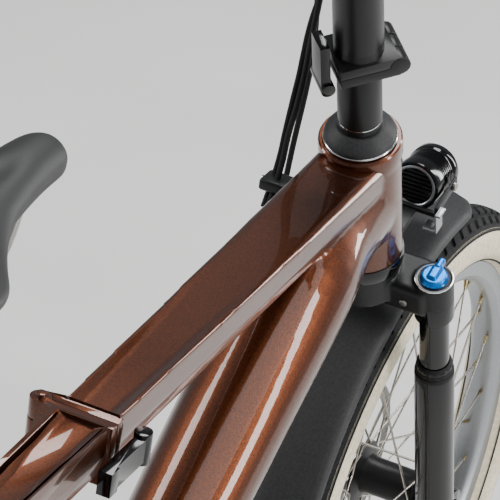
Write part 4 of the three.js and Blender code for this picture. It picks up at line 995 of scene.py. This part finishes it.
def saddle():
    """A firm cover with rolled skirts and a shallow channel, on two rails."""
    seat_top = BRACKET + SEAT_UP * POST_LENGTH * MM
    line = through([Vector(station) for station in SADDLE], 3)
    rings = []
    for x, half, top in line:
        ring = []
        for k in range(32):
            turn = math.tau * k / 32
            across, high = math.cos(turn), math.sin(turn)
            thick = COVER_DEPTH * high if high > 0 else 26 * high * (0.55 + 0.45 * across ** 2)
            dip = 3.5 * math.exp(-(across * half / 9) ** 2) if high > 0 and x < 90 else 0
            ring.append(seat_top + Vector((x, across * half, top - COVER_DEPTH + thick - dip)) * MM)
        rings.append(ring)
    cover = skinned("saddle_cover", rings)
    modify(cover, "SUBSURF", levels=2, render_levels=2)
    fit(shade(cover, 60), "seatpost_and_saddle", LEATHER, "saddle_cover", "saddle")
    for side, hand in SIDES:
        y = 22 * side
        route = [(-98, y, 48), (-62, y, 14), (-30, y, 12), (34, y, 12), (88, side * 10, 40),
                 (98, side * 3, 46)]
        line = through([seat_top + Vector(place) * MM for place in route], 8)
        rail = swept(f"saddle_rail_{hand}", line, 3.5)
        fit(shade(rail, 60), "seatpost_and_saddle", BRUSHED, "steel")


front_frame()
headset()
fork_crown()
fork_lowers()
headlight()
wheel("front", FRONT_AXLE, FRONT_HUB, "front_wheel")
wheel("rear", REAR_AXLE, REAR_HUB, "rear_wheel")
mudguard("front_guard_blade", "front_mudguard", FRONT_AXLE, 84, 218, "fork_lowers")
mudguard("rear_guard_blade", "rear_mudguard", REAR_AXLE, 28, 188, "rear_frame")
guard_stays()
hoses()
cockpit()
refined_parts()
saddle()


# --------------------------------------------------------------------- studio
# each lamp's place, what it points at, its width and height in metres, and its power
STUDIO_LIGHTS = [
    ("right_strip", (0.4, -2.4, 1.5), (0.3, 0, 0.6), 0.35, 2.4, 60),
    ("front_right_strip", (2.6, -1.6, 1.6), (0.35, 0, 0.6), 0.4, 2.4, 60),
    ("left_softbox", (-0.6, 2.8, 2.2), (0.3, 0, 0.5), 0.7, 2.4, 70),
    ("top_softbox", (1.6, 0.4, 3.4), (0.2, 0, 0.5), 1.2, 1.2, 60),
]


def studio():
    clear()
    bpy.ops.mesh.primitive_plane_add(size=60, location=(0, 0, 0))
    floor = named("studio_floor")
    material, tree, shader, place = surface("pale_floor", "#CFCFCD", Roughness=0.75)
    tinted(tree, shader, noise(tree, place, 400), "#CCCCCA", "#D2D2D0")
    floor.data.materials.append(material)
    world = bpy.data.worlds.new("soft_studio")
    world.use_nodes = True
    sky = world.node_tree.nodes["Background"]
    sky.inputs["Color"].default_value = linear("#DDE1E6")
    sky.inputs["Strength"].default_value = 0.38
    bpy.context.scene.world = world
    bpy.ops.object.light_add(type="SUN", rotation=(math.radians(28), math.radians(-18), 0))
    sun = bpy.context.object
    sun.name = "even_ceiling_light"
    sun.data.energy = 1.3
    sun.data.angle = math.radians(50)
    for name, place, aim, wide, high, power in STUDIO_LIGHTS:
        bpy.ops.object.light_add(type="AREA", location=place)
        light = bpy.context.object
        light.name = name
        light.data.shape = "RECTANGLE"
        light.data.size = wide
        light.data.size_y = high
        light.data.energy = power
        light.rotation_euler = (Vector(aim) - Vector(place)).to_track_quat("-Z", "Y").to_euler()


studio()
